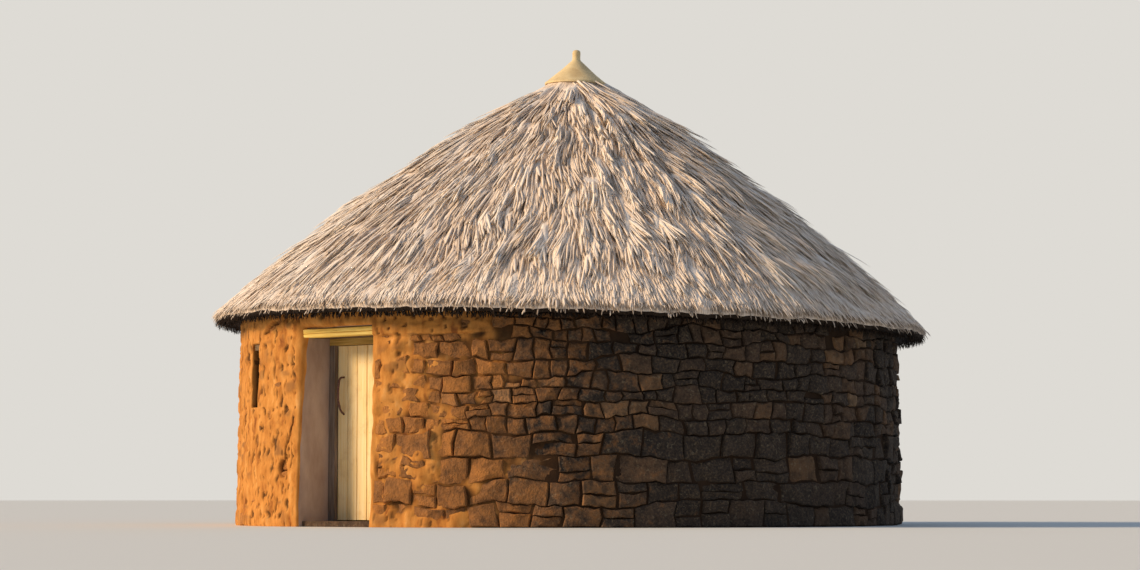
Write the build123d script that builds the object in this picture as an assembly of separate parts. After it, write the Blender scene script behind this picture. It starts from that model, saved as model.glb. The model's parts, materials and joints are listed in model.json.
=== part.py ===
from build123d import *
import math
import os

# A round stone hut with a thatched roof on a cone of poles.
# Z is up, the origin is the centre of the wall at ground level, and the doorway looks along -Y.
# Sizes are in millimetres and angles in degrees, measured anticlockwise from +X.

# Gaps: between pieces that seat on each other, between the laths and the poles' round backs,
# and between the door and what it swings past
seat_gap = 0.3
lath_seat_gap = 0.6
swing_gap = 6

# Stone wall
wall_base_radius = 3220
wall_batter = 35
wall_thickness = 460
wall_bay_count = 8

# Doorway and its timber
door_angle = -90
doorway_width = 930
threshold_height = 50
threshold_setback = 60
wall_over_door_lintel = 85
door_lintel_height = 80
door_lintel_end = 100
door_lintel_setback = 70
lintel_count = 3
lintel_spacing = 10
post_width = 75
post_depth = 85
stop_width = 15
frame_head_height = 60

# Door leaf
board_thickness = 32
board_count = 6
board_groove = 5
leaf_bottom_gap = 8
leaf_latch_gap = 9
ledge_thickness = 25
ledge_height = 100
ledge_inset = 24
ledge_end_gap = 110
brace_width = 90
strap_thickness = 4
strap_height = 40
strap_length = 450
hinge_pin_radius = 7
hinge_pin_offset = 10
hinge_eye_wall = 4.7
hinge_eye_clearance = 0.3
hinge_plate_width = 56
hinge_plate_height = 130
hinge_plate_thickness = 5
handle_radius = 9
handle_inset = 84
handle_top_gap = 285
handle_length = 348
handle_reach = 82
handle_bend_radius = 34

# Slot window
window_angle = -115
window_width = 220
window_height = 540
wall_over_window_lintel = 180
window_lintel_height = 60
window_lintel_end = 90
window_lintel_setback = 18
window_bay_angle = -135

# Roof planes: the underside of the thatch is a cone that starts at the wall's outer edge
eave_height = 1880
roof_pitch = 36
roof_lean = 1.33
roof_lean_angle = 42

# Poles and laths
rafter_pair_count = 10
rafter_foot_setback = 180
rafter_foot_diameter = 105
rafter_head_diameter = 76
short_rafter_head_radius = 640
lath_thickness = 28
lath_width = 60
lath_ring_count = 9
lath_foot_setback = 105
lath_last_radius = 420
crown_apothem = 150
crown_height = 125
crown_chamfer = 18

# Thatch
course_count = 4
course_step = 16
course_lap = 260
thatch_bulge = 99
thatch_pitch = 36.8
eave_overhang = 265
eave_tip_drop = 18
eave_butt_height = 46
eave_butt_setback = 14
eave_shoulder_setback = 50
eave_thickness = 110

# Apex cap
cap_rim_radius = 305
cap_height = 355
cap_seat_pitch = 34.5
cap_rim_thickness = 22
cap_hollow = 14
knob_radius = 42
knob_height = 110
knob_edge_angle = 28

pitch_sine = math.sin(math.radians(roof_pitch))
pitch_cosine = math.cos(math.radians(roof_pitch))
pitch_tangent = math.tan(math.radians(roof_pitch))

wall_eave_radius = wall_base_radius - wall_batter
wall_inner_radius = wall_base_radius - wall_thickness
rafter_foot_radius = wall_eave_radius - rafter_foot_setback
rafter_count = 2 * rafter_pair_count
lath_first_radius = rafter_foot_radius - lath_foot_setback
eave_radius = wall_eave_radius + eave_overhang
eave_tip_height = eave_height - eave_tip_drop
eave_shoulder_radius = eave_radius - eave_shoulder_setback
eave_shoulder_height = eave_height + eave_thickness
thatch_rise = (eave_shoulder_radius - cap_rim_radius) * math.tan(math.radians(thatch_pitch))
cap_seat_height = eave_shoulder_height + thatch_rise
hut_height = cap_seat_height + cap_height


# Heights of the roof's surfaces above a given radius, before the roof's lean

def thatch_underside(radius):
    return eave_height + (wall_eave_radius - radius) * pitch_tangent


def thatch_surface(radius):
    """Straight from the eave's shoulder to the cap's rim, raised between them by a parabola."""
    share = (radius - cap_rim_radius) / (eave_shoulder_radius - cap_rim_radius)
    return cap_seat_height - thatch_rise * share + 4 * thatch_bulge * share * (1 - share)


def rafter_top(radius):
    """The line along a pole's upper side, just under the laths."""
    return thatch_underside(radius) - (seat_gap + lath_thickness + lath_seat_gap) / pitch_cosine


def rafter_radius(radius):
    share = (rafter_foot_radius - radius) / (rafter_foot_radius - crown_apothem)
    return (rafter_foot_diameter + (rafter_head_diameter - rafter_foot_diameter) * share) / 2


def rafter_bottom(radius):
    """The line along a pole's lower side, through its points under the foot and the head."""
    points = []
    for top_radius in (rafter_foot_radius, crown_apothem):
        depth = 2 * rafter_radius(top_radius)
        points.append((top_radius - depth * pitch_sine, rafter_top(top_radius) - depth * pitch_cosine))
    (foot_r, foot_z), (head_r, head_z) = points
    return foot_z + (radius - foot_r) * (head_z - foot_z) / (head_r - foot_r)


def turn(angle):
    return Rot(0, 0, angle)


def lean(shape):
    """Tip a roof piece about the middle of the eaves, down towards the leaning side."""
    tip = Pos(0, 0, eave_height) * turn(roof_lean_angle) * Rot(0, roof_lean, 0)
    return tip * turn(-roof_lean_angle) * Pos(0, 0, -eave_height) * shape


def profile(points):
    """A closed outline of (radius, height) points, standing in the XZ plane."""
    return Plane.XZ * make_face(Polyline(*points, close=True))


def block(low, high):
    """A box between its lowest and highest corners."""
    size = [b - a for a, b in zip(low, high)]
    centre = [(a + b) / 2 for a, b in zip(low, high)]
    return Pos(*centre) * Box(*size)


def wall_radius(height):
    return wall_base_radius - (wall_base_radius - wall_eave_radius) * height / eave_height


# Wall

def wall_sector(start, sweep):
    """Part of the round wall, battered outside and plumb inside, up to the roof's own shape.

    The inner half of the head is a sloping seat for the rafters' feet.  The outer half is
    built up behind them to the underside of the thatch.
    """
    tall = eave_height + wall_base_radius - wall_inner_radius
    outline = [
        (wall_inner_radius, 0),
        (wall_base_radius, 0),
        (wall_radius(tall), tall),
        (wall_inner_radius, tall),
    ]
    sector = turn(start) * revolve(profile(outline), Axis.Z, sweep)
    shelf = math.hypot(rafter_foot_radius, rafter_foot_diameter / 2) + seat_gap
    near = 2 * wall_inner_radius - wall_base_radius
    wide = 2 * wall_base_radius - wall_inner_radius
    over_head = [
        (near, rafter_bottom(near) - seat_gap),
        (shelf, rafter_bottom(shelf) - seat_gap),
        (shelf, thatch_underside(shelf) - seat_gap),
        (wide, thatch_underside(wide) - seat_gap),
        (wide, 2 * tall),
        (near, 2 * tall),
    ]
    spare = sweep / 4
    ring = turn(start - spare) * revolve(profile(over_head), Axis.Z, sweep + 2 * spare)
    return sector - lean(ring)


def doorway_space(bottom, top):
    half = doorway_width / 2
    return block((-half, -2 * wall_base_radius, bottom), (half, 0, top))


door_lintel_top = eave_height - wall_over_door_lintel
door_lintel_bottom = door_lintel_top - door_lintel_height
lintel_inner_face = wall_inner_radius + seat_gap
door_lintel_face = wall_radius(door_lintel_bottom) - door_lintel_setback
window_lintel_bottom = eave_height - wall_over_window_lintel - window_lintel_height
window_sill_height = window_lintel_bottom - window_height
window_lintel_face = wall_radius(window_lintel_bottom) - window_lintel_setback


def lintel_set(length, bottom, height, outer_face, angle):
    """Timbers side by side through the wall's thickness, from the outer one inwards."""
    span = outer_face - lintel_inner_face
    depth = (span - (lintel_count - 1) * lintel_spacing) / lintel_count
    timbers = []
    for number in range(lintel_count):
        high = outer_face - number * (depth + lintel_spacing)
        timber = block((high - depth, -length / 2, bottom), (high, length / 2, bottom + height))
        timbers.append(turn(angle) * timber)
    return timbers


def lintel_pocket(length, bottom, height, outer_face, angle):
    low = (0, -length / 2 - seat_gap, bottom)
    high = (outer_face + seat_gap, length / 2 + seat_gap, bottom + height)
    return turn(angle) * block(low, high)


door_lintel_length = doorway_width + 2 * door_lintel_end
door_lintel_size = (door_lintel_length, door_lintel_bottom, door_lintel_height, door_lintel_face)
window_lintel_length = window_width + 2 * window_lintel_end
window_lintel_size = (
    window_lintel_length, window_lintel_bottom, window_lintel_height, window_lintel_face,
)


def wall_over_door():
    jamb_sweep = math.degrees(math.asin(doorway_width / 2 / wall_inner_radius))
    sector = wall_sector(door_angle - 2 * jamb_sweep, 4 * jamb_sweep)
    return sector & doorway_space(door_lintel_top, 2 * eave_height)


def door_side_cuts(bay):
    """Cut a bay beside the doorway at its jamb and for the ends of the lintels."""
    cut = bay - doorway_space(-eave_height, 2 * eave_height)
    return cut - lintel_pocket(*door_lintel_size, door_angle)


def wall_bays():
    """The bays go anticlockwise from the door's right jamb to the window's bay."""
    sweep = (window_bay_angle + 360 - door_angle) / wall_bay_count
    bays = [wall_sector(door_angle + number * sweep, sweep) for number in range(wall_bay_count)]
    bays[0] = door_side_cuts(bays[0])
    return bays


def wall_window_bay():
    bay = door_side_cuts(wall_sector(window_bay_angle, door_angle - window_bay_angle))
    slot = block(
        (0, -window_width / 2, window_sill_height),
        (2 * wall_base_radius, window_width / 2, window_lintel_bottom),
    )
    bay = bay - turn(window_angle) * slot
    return bay - lintel_pocket(*window_lintel_size, window_angle)


# Doorway

frame_inner_face = -math.sqrt(wall_inner_radius**2 - (doorway_width / 2)**2)
frame_outer_face = frame_inner_face - post_depth
frame_head_bottom = door_lintel_bottom - frame_head_height
hinge_eye_radius = hinge_pin_radius + hinge_eye_clearance + hinge_eye_wall
leaf_ledge_face = frame_inner_face + hinge_eye_radius + strap_thickness / 2
leaf_inner_face = leaf_ledge_face - ledge_thickness
leaf_outer_face = leaf_inner_face - board_thickness


def threshold_stone():
    half = doorway_width / 2
    outer = -math.sqrt(wall_base_radius**2 - half**2) + threshold_setback
    return block((-half, outer, 0), (half, frame_inner_face, threshold_height))


def door_post(side):
    """A post with a stop left standing on its outer part, for the leaf to close behind."""
    jamb = side * doorway_width / 2
    face = jamb - side * post_width
    stop = face - side * stop_width
    rebate = leaf_outer_face - swing_gap
    outline = Polyline(
        (jamb, frame_inner_face),
        (face, frame_inner_face),
        (face, rebate),
        (stop, rebate),
        (stop, frame_outer_face),
        (jamb, frame_outer_face),
        close=True,
    )
    return extrude(Pos(0, 0, threshold_height) * make_face(outline), frame_head_bottom - threshold_height)


def door_frame_head():
    half = doorway_width / 2
    low = (-half, frame_outer_face, frame_head_bottom)
    return block(low, (half, frame_inner_face, door_lintel_bottom))


# Door leaf, hung on the right jamb as seen from outside and opening inwards

leaf_right = doorway_width / 2 - post_width - swing_gap
leaf_left = -doorway_width / 2 + post_width + leaf_latch_gap
leaf_bottom = threshold_height + leaf_bottom_gap
leaf_top = frame_head_bottom - swing_gap
ledge_left = leaf_left + ledge_inset
ledge_right = leaf_right - ledge_inset
ledge_heights = [
    leaf_bottom + ledge_end_gap,
    (leaf_bottom + leaf_top - ledge_height) / 2,
    leaf_top - ledge_end_gap - ledge_height,
]
hinge_x = doorway_width / 2 - post_width + hinge_pin_offset
hinge_y = leaf_ledge_face + hinge_eye_radius


def door_leaf():
    """Upright boards, joined, with a groove at each joint on the outer face."""
    leaf = block(
        (leaf_left, leaf_outer_face, leaf_bottom),
        (leaf_right, leaf_inner_face, leaf_top),
    )
    board_width = (leaf_right - leaf_left) / board_count
    groove = Rot(0, 0, 45) * Box(board_groove, board_groove, 2 * leaf_top)
    for joint in range(1, board_count):
        leaf = leaf - Pos(leaf_left + joint * board_width, leaf_outer_face, 0) * groove
    return leaf


def door_ledges():
    """Three level ledges on the inner face."""
    ledges = []
    for bottom in ledge_heights:
        low = (ledge_left, leaf_inner_face, bottom)
        ledges.append(block(low, (ledge_right, leaf_ledge_face, bottom + ledge_height)))
    return Compound(children=ledges)


def door_braces():
    """Two braces that rise from the hinge side, each cut to stand between its ledges."""
    braces = []
    for lower, upper in zip(ledge_heights, ledge_heights[1:]):
        bottom = lower + ledge_height + seat_gap
        top = upper - seat_gap
        rise = top - bottom
        slant = math.atan2(rise, ledge_right - ledge_left - brace_width)
        foot = brace_width / math.sin(slant)
        outline = Polyline(
            (ledge_right, bottom),
            (ledge_right - foot, bottom),
            (ledge_left, top),
            (ledge_left + foot, top),
            close=True,
        )
        leaf_plane = Plane(origin=(0, leaf_inner_face, 0), x_dir=(1, 0, 0), z_dir=(0, -1, 0))
        braces.append(extrude(leaf_plane * make_face(outline), -ledge_thickness))
    return Compound(children=braces)


def strap_bottoms():
    return [bottom + (ledge_height - strap_height) / 2 for bottom in (ledge_heights[0], ledge_heights[2])]


def door_hinge_straps():
    """Straps across the top and bottom ledges, each rolled into an eye round its pin."""
    straps = []
    for bottom in strap_bottoms():
        band = block(
            (hinge_x - strap_length, leaf_ledge_face, bottom),
            (hinge_x, leaf_ledge_face + strap_thickness, bottom + strap_height),
        )
        eye_place = Pos(hinge_x, hinge_y, bottom + strap_height / 2)
        eye = eye_place * Cylinder(hinge_eye_radius, strap_height)
        bore = eye_place * Cylinder(hinge_pin_radius + hinge_eye_clearance, 2 * strap_height)
        straps.append(band + eye - bore)
    return Compound(children=straps)


def door_hinge_pins():
    """A plate on the post for each strap, with an arm under the eye and the upright pin."""
    pins = []
    for bottom in strap_bottoms():
        arm_top = bottom - swing_gap
        arm_bottom = arm_top - 2 * hinge_pin_radius
        plate_left = hinge_x - hinge_pin_radius
        plate_top = bottom + strap_height / 2 + hinge_plate_height / 2
        plate = block(
            (plate_left, frame_inner_face, plate_top - hinge_plate_height),
            (plate_left + hinge_plate_width, frame_inner_face + hinge_plate_thickness, plate_top),
        )
        arm = block(
            (plate_left, frame_inner_face, arm_bottom),
            (hinge_x + hinge_pin_radius, hinge_y, arm_top),
        )
        pin_height = bottom + strap_height + hinge_pin_radius - arm_bottom
        pin = Pos(hinge_x, hinge_y, arm_bottom + pin_height / 2) * Cylinder(hinge_pin_radius, pin_height)
        pins.append(plate + arm + pin)
    return Compound(children=pins)


def door_handle():
    """A bowed pull: straight out at the top, then down in one long slant to the leaf."""
    handle_x = leaf_left + handle_inset
    top = leaf_top - handle_top_gap
    bottom = top - handle_length
    path = FilletPolyline(
        (handle_x, leaf_outer_face, top),
        (handle_x, leaf_outer_face - 0.6 * handle_reach, top),
        (handle_x, leaf_outer_face - handle_reach, bottom + 0.4 * handle_length),
        (handle_x, leaf_outer_face, bottom),
        radius=handle_bend_radius,
    )
    section = Plane(origin=path @ 0, z_dir=path % 0) * Circle(handle_radius)
    bar = sweep(section, path=path)
    far = 2 * handle_reach
    front = block(
        (handle_x - far, leaf_outer_face - far, bottom - far),
        (handle_x + far, leaf_outer_face, top + far),
    )
    return bar & front


# Roof poles

def rafter(head_radius):
    """A tapered pole along +X, with plumb ends, its upper side on the laths' plane."""
    centres = []
    for radius in (rafter_foot_radius, crown_apothem):
        half = rafter_radius(radius)
        centres.append(Vector(radius - half * pitch_sine, 0, rafter_top(radius) - half * pitch_cosine))
    foot, head = centres
    along = (head - foot).normalized()
    length = (head - foot).length
    spare = rafter_foot_diameter
    growth = (rafter_foot_diameter - rafter_head_diameter) / 2 / length * spare
    pole = Plane(origin=foot - along * spare, z_dir=along) * Cone(
        rafter_foot_diameter / 2 + growth,
        rafter_head_diameter / 2 - growth,
        length + 2 * spare,
        align=(Align.CENTER, Align.CENTER, Align.MIN),
    )
    between_cuts = block((head_radius, -spare, 0), (rafter_foot_radius, spare, hut_height))
    return pole & between_cuts


def rafters(first, head_radius):
    """Poles at every second place around the roof, starting with the first."""
    pole = rafter(head_radius)
    step = 360 / rafter_count
    places = range(first, rafter_count, 2)
    return Compound(children=[lean(turn(place * step) * pole) for place in places])


def crown_block():
    """A many-sided block at the apex, with one flat side for each long rafter to butt."""
    top = rafter_top(crown_apothem)
    outline = RegularPolygon(crown_apothem - seat_gap, rafter_pair_count, major_radius=False)
    outline = turn(180 / rafter_pair_count) * outline
    crown = extrude(Pos(0, 0, top - crown_height) * outline, crown_height)
    return lean(chamfer(crown.faces().sort_by(Axis.Z)[0].edges(), crown_chamfer))


def lath_ring(radius):
    """One ring of laths, straight from pole to pole, with a slanting section."""
    centre = thatch_underside(radius)
    rise = lath_width * pitch_sine
    run = lath_width * pitch_cosine

    def pyramid(depth):
        corner = radius - depth / pitch_sine
        low = RegularPolygon(corner + run / 2, rafter_count)
        high = RegularPolygon(corner - run / 2, rafter_count)
        return loft([Pos(0, 0, centre - rise / 2) * low, Pos(0, 0, centre + rise / 2) * high], ruled=True)

    return lean(pyramid(seat_gap) - pyramid(seat_gap + lath_thickness))


def laths():
    step = (lath_first_radius - lath_last_radius) / (lath_ring_count - 1)
    rings = [lath_ring(lath_first_radius - number * step) for number in range(lath_ring_count)]
    return Compound(children=rings)


# Thatch

course_width = (eave_shoulder_radius - cap_rim_radius) / course_count
cap_seat_rise = cap_rim_radius * math.tan(math.radians(cap_seat_pitch))


def lap_joint(number):
    """The slanting joint between a course and the one above: its outer and inner points."""
    outer = eave_shoulder_radius - number * course_width
    inner = outer - course_lap
    return (outer, thatch_surface(outer)), (inner, thatch_underside(inner))


def thatch_course(number):
    """One course of thatch, a ring laid over the tail of the course below it."""
    if number == 0:
        outline = [
            (wall_eave_radius, eave_height),
            (eave_radius - eave_butt_setback, eave_tip_height),
            (eave_radius, eave_tip_height + eave_butt_height),
            (eave_shoulder_radius, eave_shoulder_height),
        ]
    else:
        lower_outer, lower_inner = lap_joint(number)
        outline = [lower_inner, lower_outer, (lower_outer[0], lower_outer[1] + course_step)]
    if number == course_count - 1:
        outline.append((cap_rim_radius, cap_seat_height))
        outline.append((0, cap_seat_height + cap_seat_rise))
        outline.append((0, thatch_underside(0)))
    else:
        outline.extend(lap_joint(number + 1))
    return lean(revolve(profile(outline), Axis.Z, 360))


def apex_cap():
    """A bell-flanked cap with a knob, seated on the top course."""
    seat = cap_seat_height + seat_gap
    shoulder = hut_height - knob_height
    rim_top = (cap_rim_radius - cap_rim_thickness / 3, seat + cap_rim_thickness)
    knob_foot = (knob_radius, shoulder)
    middle = ((rim_top[0] + knob_foot[0]) / 2 - cap_hollow, (rim_top[1] + knob_foot[1]) / 2 - cap_hollow)
    knob_centre = hut_height - knob_radius

    def knob_point(angle):
        turned = math.radians(angle)
        return knob_radius * math.cos(turned), knob_centre + knob_radius * math.sin(turned)

    knob_side = knob_point(knob_edge_angle)
    knob_round = knob_point((knob_edge_angle + 90) / 2)
    outline = [
        Line((0, seat + cap_seat_rise), (cap_rim_radius, seat)),
        Line((cap_rim_radius, seat), rim_top),
        ThreePointArc(rim_top, middle, knob_foot),
        Line(knob_foot, knob_side),
        ThreePointArc(knob_side, knob_round, (0, hut_height)),
        Line((0, hut_height), (0, seat + cap_seat_rise)),
    ]
    return lean(revolve(Plane.XZ * make_face(outline), Axis.Z, 360))


door_lintels = lintel_set(*door_lintel_size, door_angle)

parts = {
    "wall_over_door": wall_over_door(),
    "wall_window_bay": wall_window_bay(),
    "outer_door_lintel": door_lintels[0],
    "inner_door_lintels": Compound(children=door_lintels[1:]),
    "window_lintels": Compound(children=lintel_set(*window_lintel_size, window_angle)),
    "threshold_stone": threshold_stone(),
    "door_post_left": door_post(-1),
    "door_post_right": door_post(1),
    "door_frame_head": door_frame_head(),
    "door_hinge_pins": door_hinge_pins(),
    "door_leaf": door_leaf(),
    "door_ledges": door_ledges(),
    "door_braces": door_braces(),
    "door_hinge_straps": door_hinge_straps(),
    "door_handle": door_handle(),
    "long_rafters": rafters(0, crown_apothem),
    "short_rafters": rafters(1, short_rafter_head_radius),
    "crown_block": crown_block(),
    "roof_laths": laths(),
    "apex_cap": apex_cap(),
}
for number, bay in enumerate(wall_bays(), 1):
    parts[f"wall_bay_{number}"] = bay
for number in range(course_count):
    parts[f"thatch_course_{number + 1}"] = thatch_course(number)

os.makedirs("parts", exist_ok=True)
for name, shape in parts.items():
    export_step(shape, f"parts/{name}.step")
    print(name, len(shape.solids()), round(shape.volume / 1e9, 4))
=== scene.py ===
import json
import math
import random

import bmesh
import bpy
import numpy as np
from mathutils import Matrix, Vector, noise

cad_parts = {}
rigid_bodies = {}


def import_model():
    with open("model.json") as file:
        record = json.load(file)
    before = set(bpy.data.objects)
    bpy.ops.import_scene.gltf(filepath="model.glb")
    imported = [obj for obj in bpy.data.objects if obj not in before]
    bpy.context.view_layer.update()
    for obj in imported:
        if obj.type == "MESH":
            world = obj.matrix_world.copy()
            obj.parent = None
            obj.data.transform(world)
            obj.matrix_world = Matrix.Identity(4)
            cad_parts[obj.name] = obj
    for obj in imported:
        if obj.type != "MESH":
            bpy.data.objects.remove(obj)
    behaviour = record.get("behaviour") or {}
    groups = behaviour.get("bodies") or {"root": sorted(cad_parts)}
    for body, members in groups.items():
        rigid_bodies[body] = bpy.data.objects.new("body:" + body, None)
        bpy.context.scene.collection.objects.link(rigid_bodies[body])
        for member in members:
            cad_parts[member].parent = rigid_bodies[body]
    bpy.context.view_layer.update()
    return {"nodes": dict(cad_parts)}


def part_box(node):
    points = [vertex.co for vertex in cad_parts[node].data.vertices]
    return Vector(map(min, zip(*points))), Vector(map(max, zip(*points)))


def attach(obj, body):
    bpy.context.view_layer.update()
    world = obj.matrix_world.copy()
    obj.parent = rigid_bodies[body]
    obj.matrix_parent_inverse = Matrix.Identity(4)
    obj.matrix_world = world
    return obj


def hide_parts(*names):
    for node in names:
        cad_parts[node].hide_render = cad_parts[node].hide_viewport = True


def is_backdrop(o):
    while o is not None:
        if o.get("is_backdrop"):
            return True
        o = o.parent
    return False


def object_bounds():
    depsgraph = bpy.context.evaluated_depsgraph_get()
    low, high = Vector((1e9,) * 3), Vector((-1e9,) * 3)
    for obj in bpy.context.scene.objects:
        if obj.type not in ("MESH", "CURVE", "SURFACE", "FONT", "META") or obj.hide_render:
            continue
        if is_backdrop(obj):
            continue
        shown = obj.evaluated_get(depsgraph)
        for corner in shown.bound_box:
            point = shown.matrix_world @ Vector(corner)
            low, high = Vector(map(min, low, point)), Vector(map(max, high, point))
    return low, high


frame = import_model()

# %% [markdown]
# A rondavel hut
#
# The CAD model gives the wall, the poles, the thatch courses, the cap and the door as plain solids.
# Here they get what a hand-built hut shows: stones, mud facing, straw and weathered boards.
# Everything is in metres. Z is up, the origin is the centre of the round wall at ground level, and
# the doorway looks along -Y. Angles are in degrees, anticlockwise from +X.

nodes = frame["nodes"]

# %% [markdown]
# The hut's own sizes come first, because all that follows is laid out from them. The roof leans a
# little: its pieces are turned about the middle of the eaves, down towards the leaning side, so
# one matrix does for straw, eave and cap alike.

# %% Sizes of the wall and the roof
EAVE_HEIGHT = 1.880
WALL_BASE, WALL_EAVE = 3.220, 3.185
ROOF_PITCH = math.radians(36)
ROOF_LEAN = math.radians(1.33)
LEAN_SIDE = math.radians(42)
SHOULDER_RADIUS, SHOULDER_HEIGHT = 3.400, 1.990
RIM_RADIUS, RIM_HEIGHT = 0.305, 4.3054
THATCH_BULGE = 0.099
DOOR_HALF, LINTEL_TOP = 0.465, 1.795
WINDOW_ANGLE, WINDOW_HALF, WINDOW_SILL, WINDOW_HEAD = -115, 0.110, 1.100, 1.700

LEAN = (
    Matrix.Translation((0, 0, EAVE_HEIGHT))
    @ Matrix.Rotation(LEAN_SIDE, 4, "Z")
    @ Matrix.Rotation(ROOF_LEAN, 4, "Y")
    @ Matrix.Rotation(-LEAN_SIDE, 4, "Z")
    @ Matrix.Translation((0, 0, -EAVE_HEIGHT))
)


def wall_radius(height):
    """The battered outer face of the wall."""
    return WALL_BASE - (WALL_BASE - WALL_EAVE) * height / EAVE_HEIGHT


def eave_line(angle):
    """Height at which the wall's outer face meets the thatch."""
    return EAVE_HEIGHT - WALL_EAVE * math.tan(ROOF_LEAN) * np.cos(angle - LEAN_SIDE)


print("eave line", [round(float(eave_line(LEAN_SIDE + away)), 3) for away in (0, math.pi)])

# %% [markdown]
# Blender mixes light in linear numbers, but colours are given in sRGB, so one function turns a
# hex value into linear. Another adds a shader or geometry node with its settings and links, so
# that a material reads as a short list of steps. A material begins with its shader's plain values,
# and ends with the films of colour and the bumps that lie over one another.

# %% Helpers for colours and nodes


def paint(hex_code):
    """A linear RGBA colour from sRGB hex."""
    channels = [int(hex_code[i:i + 2], 16) / 255 for i in (0, 2, 4)]
    return [c / 12.92 if c <= 0.04045 else ((c + 0.055) / 1.055) ** 2.4 for c in channels] + [1.0]


def add(tree, kind, feeds=None, stops=(), **settings):
    """Add a node and return its outputs.

    feeds gives each input socket a link or a value; stops are the (position, hex) pairs of a ramp.
    """
    node = tree.nodes.new(kind)
    for key, value in settings.items():
        setattr(node, key, value)
    for socket, source in (feeds or {}).items():
        if isinstance(source, bpy.types.NodeSocket):
            tree.links.new(source, node.inputs[socket])
        else:
            node.inputs[socket].default_value = source
    if stops:
        elements = node.color_ramp.elements
        while len(elements) < len(stops):
            elements.new(0.5)
        for element, (position, hex_code) in zip(elements, stops):
            element.position, element.color = position, paint(hex_code)
    return node.outputs


def new_material(name, roughness, specular=0.3):
    """A material with plain values on its shader, and its node tree."""
    material = bpy.data.materials.new(name)
    material.use_nodes = True
    shader = material.node_tree.nodes["Principled BSDF"]
    shader.inputs["Roughness"].default_value = roughness
    shader.inputs["Specular IOR Level"].default_value = specular
    return material, material.node_tree


def grain(tree, coordinate, millimetres, detail=4, roughness=0.6):
    """Noise whose spots are so many millimetres across, or so many in each direction."""
    spots = (millimetres,) * 3 if isinstance(millimetres, (int, float)) else millimetres
    scale = [1000 / spot for spot in spots]
    scaled = add(tree, "ShaderNodeMapping", {"Vector": coordinate, "Scale": scale})[0]
    return add(tree, "ShaderNodeTexNoise", {
        "Vector": scaled, "Scale": 1.0, "Detail": detail, "Roughness": roughness})["Fac"]


def lay_over(tree, colour, films, bumps):
    """Lay films over a colour, and bumps of (height, depth in metres) on the surface.

    A film is (share, stops, hex): where it lies, the ramp that sharpens this or None, its colour.
    """
    shader = tree.nodes["Principled BSDF"]
    for share, stops, hex_code in films:
        if stops:
            share = add(tree, "ShaderNodeValToRGB", {0: share}, stops=stops)[0]
        feeds = {0: share, 6: colour, 7: paint(hex_code)}
        colour = add(tree, "ShaderNodeMix", feeds, data_type="RGBA")[2]
    tree.links.new(colour, shader.inputs["Base Color"])
    under = {}
    for height, depth in bumps:
        feeds = {"Height": height, "Distance": depth, "Strength": 1.0, **under}
        under = {"Normal": add(tree, "ShaderNodeBump", feeds)[0]}
    tree.links.new(under["Normal"], shader.inputs["Normal"])


print("ochre mud in linear numbers", [round(c, 3) for c in paint("bf7f3a")])

# %% [markdown]
# Mud plaster is clay, sand and dung spread by hand. It is matt, ochre where it is newly laid and
# grey-brown where rain has worn it, with hand smears, small pits and the ghosts of stones that
# show through where it is thin. The ochre also paints light on the side the lamp faces, and the
# grey-brown paints shade on the far side. The wall's mesh carries three numbers for this: how ochre
# the mud is, how thin it is over a stone, and how deep in a joint it lies. The joint number also
# paints shade into the pits, the crack, the dip and the window's reveal.

# %% Mud plaster of the wall's outer face


def mud_facing_material():
    material, tree = new_material("mud_plaster_handspread", 0.92, 0.15)
    place = add(tree, "ShaderNodeTexCoord")["Object"]
    ochre, thin, joint = [add(tree, "ShaderNodeAttribute", attribute_name=title)["Fac"]
                          for title in ("ochre", "thin", "joint")]
    patches = grain(tree, place, 450)
    smears = grain(tree, place, (95, 95, 260), 5)
    # Real grit is 1 to 4 mm across; it is drawn at 11 mm, to show from thirty metres away
    grit = grain(tree, place, 11, 3)
    # The two ramps are the mud's own colour and painted light and shade too: the ochre number puts
    # the bright ramp towards the lamp and the dark one on the shaded far side.
    fresh_mud_and_light = add(tree, "ShaderNodeValToRGB", {0: smears}, stops=(
        (0.30, "8c5427"), (0.44, "bf7f3a"), (0.60, "d4944a"), (0.78, "e2ae6c")))[0]
    washed_mud_and_shade = add(tree, "ShaderNodeValToRGB", {0: smears}, stops=(
        (0.30, "3f3226"), (0.50, "5f4a36"), (0.72, "7d6448")))[0]
    share = add(tree, "ShaderNodeMath", {0: patches, 1: 0.9, 2: ochre}, operation="MULTIPLY_ADD")[0]
    share = add(tree, "ShaderNodeMapRange", {"Value": share, "From Min": 0.72, "From Max": 1.25})[0]
    colour = add(tree, "ShaderNodeMix", {0: share, 6: washed_mud_and_shade, 7: fresh_mud_and_light}, data_type="RGBA")[2]
    # The joint film darkens the bare joints, and it is painted shade in the pits, the crack, the
    # dip and the window's reveal.
    lay_over(tree, colour, [(thin, None, "8a6138"), (joint, None, "261a12")],
             [(smears, 0.0045), (grit, 0.0018)])
    return material


mud_facing = mud_facing_material()
print("made", mud_facing.name)

# %% [markdown]
# The doorway's reveal was floated smooth with a greyer slip, and the inside of the wall has a
# plain coat of the same mud. Both are one finish with other colours, so one function makes them:
# broad clouds where the hand went over it, and grit, again drawn coarser than it is.

# %% Smooth plaster of the reveals and the inner face


def slip_material(name, dark, light):
    material, tree = new_material(name, 0.88, 0.15)
    place = add(tree, "ShaderNodeTexCoord")["Object"]
    clouds = grain(tree, place, (200, 200, 500), 4)
    grit = grain(tree, place, 17, 3)
    colour = add(tree, "ShaderNodeValToRGB", {0: clouds}, stops=((0.3, dark), (0.7, light)))[0]
    lay_over(tree, colour, [], [(clouds, 0.012), (grit, 0.0015)])
    return material


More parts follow.
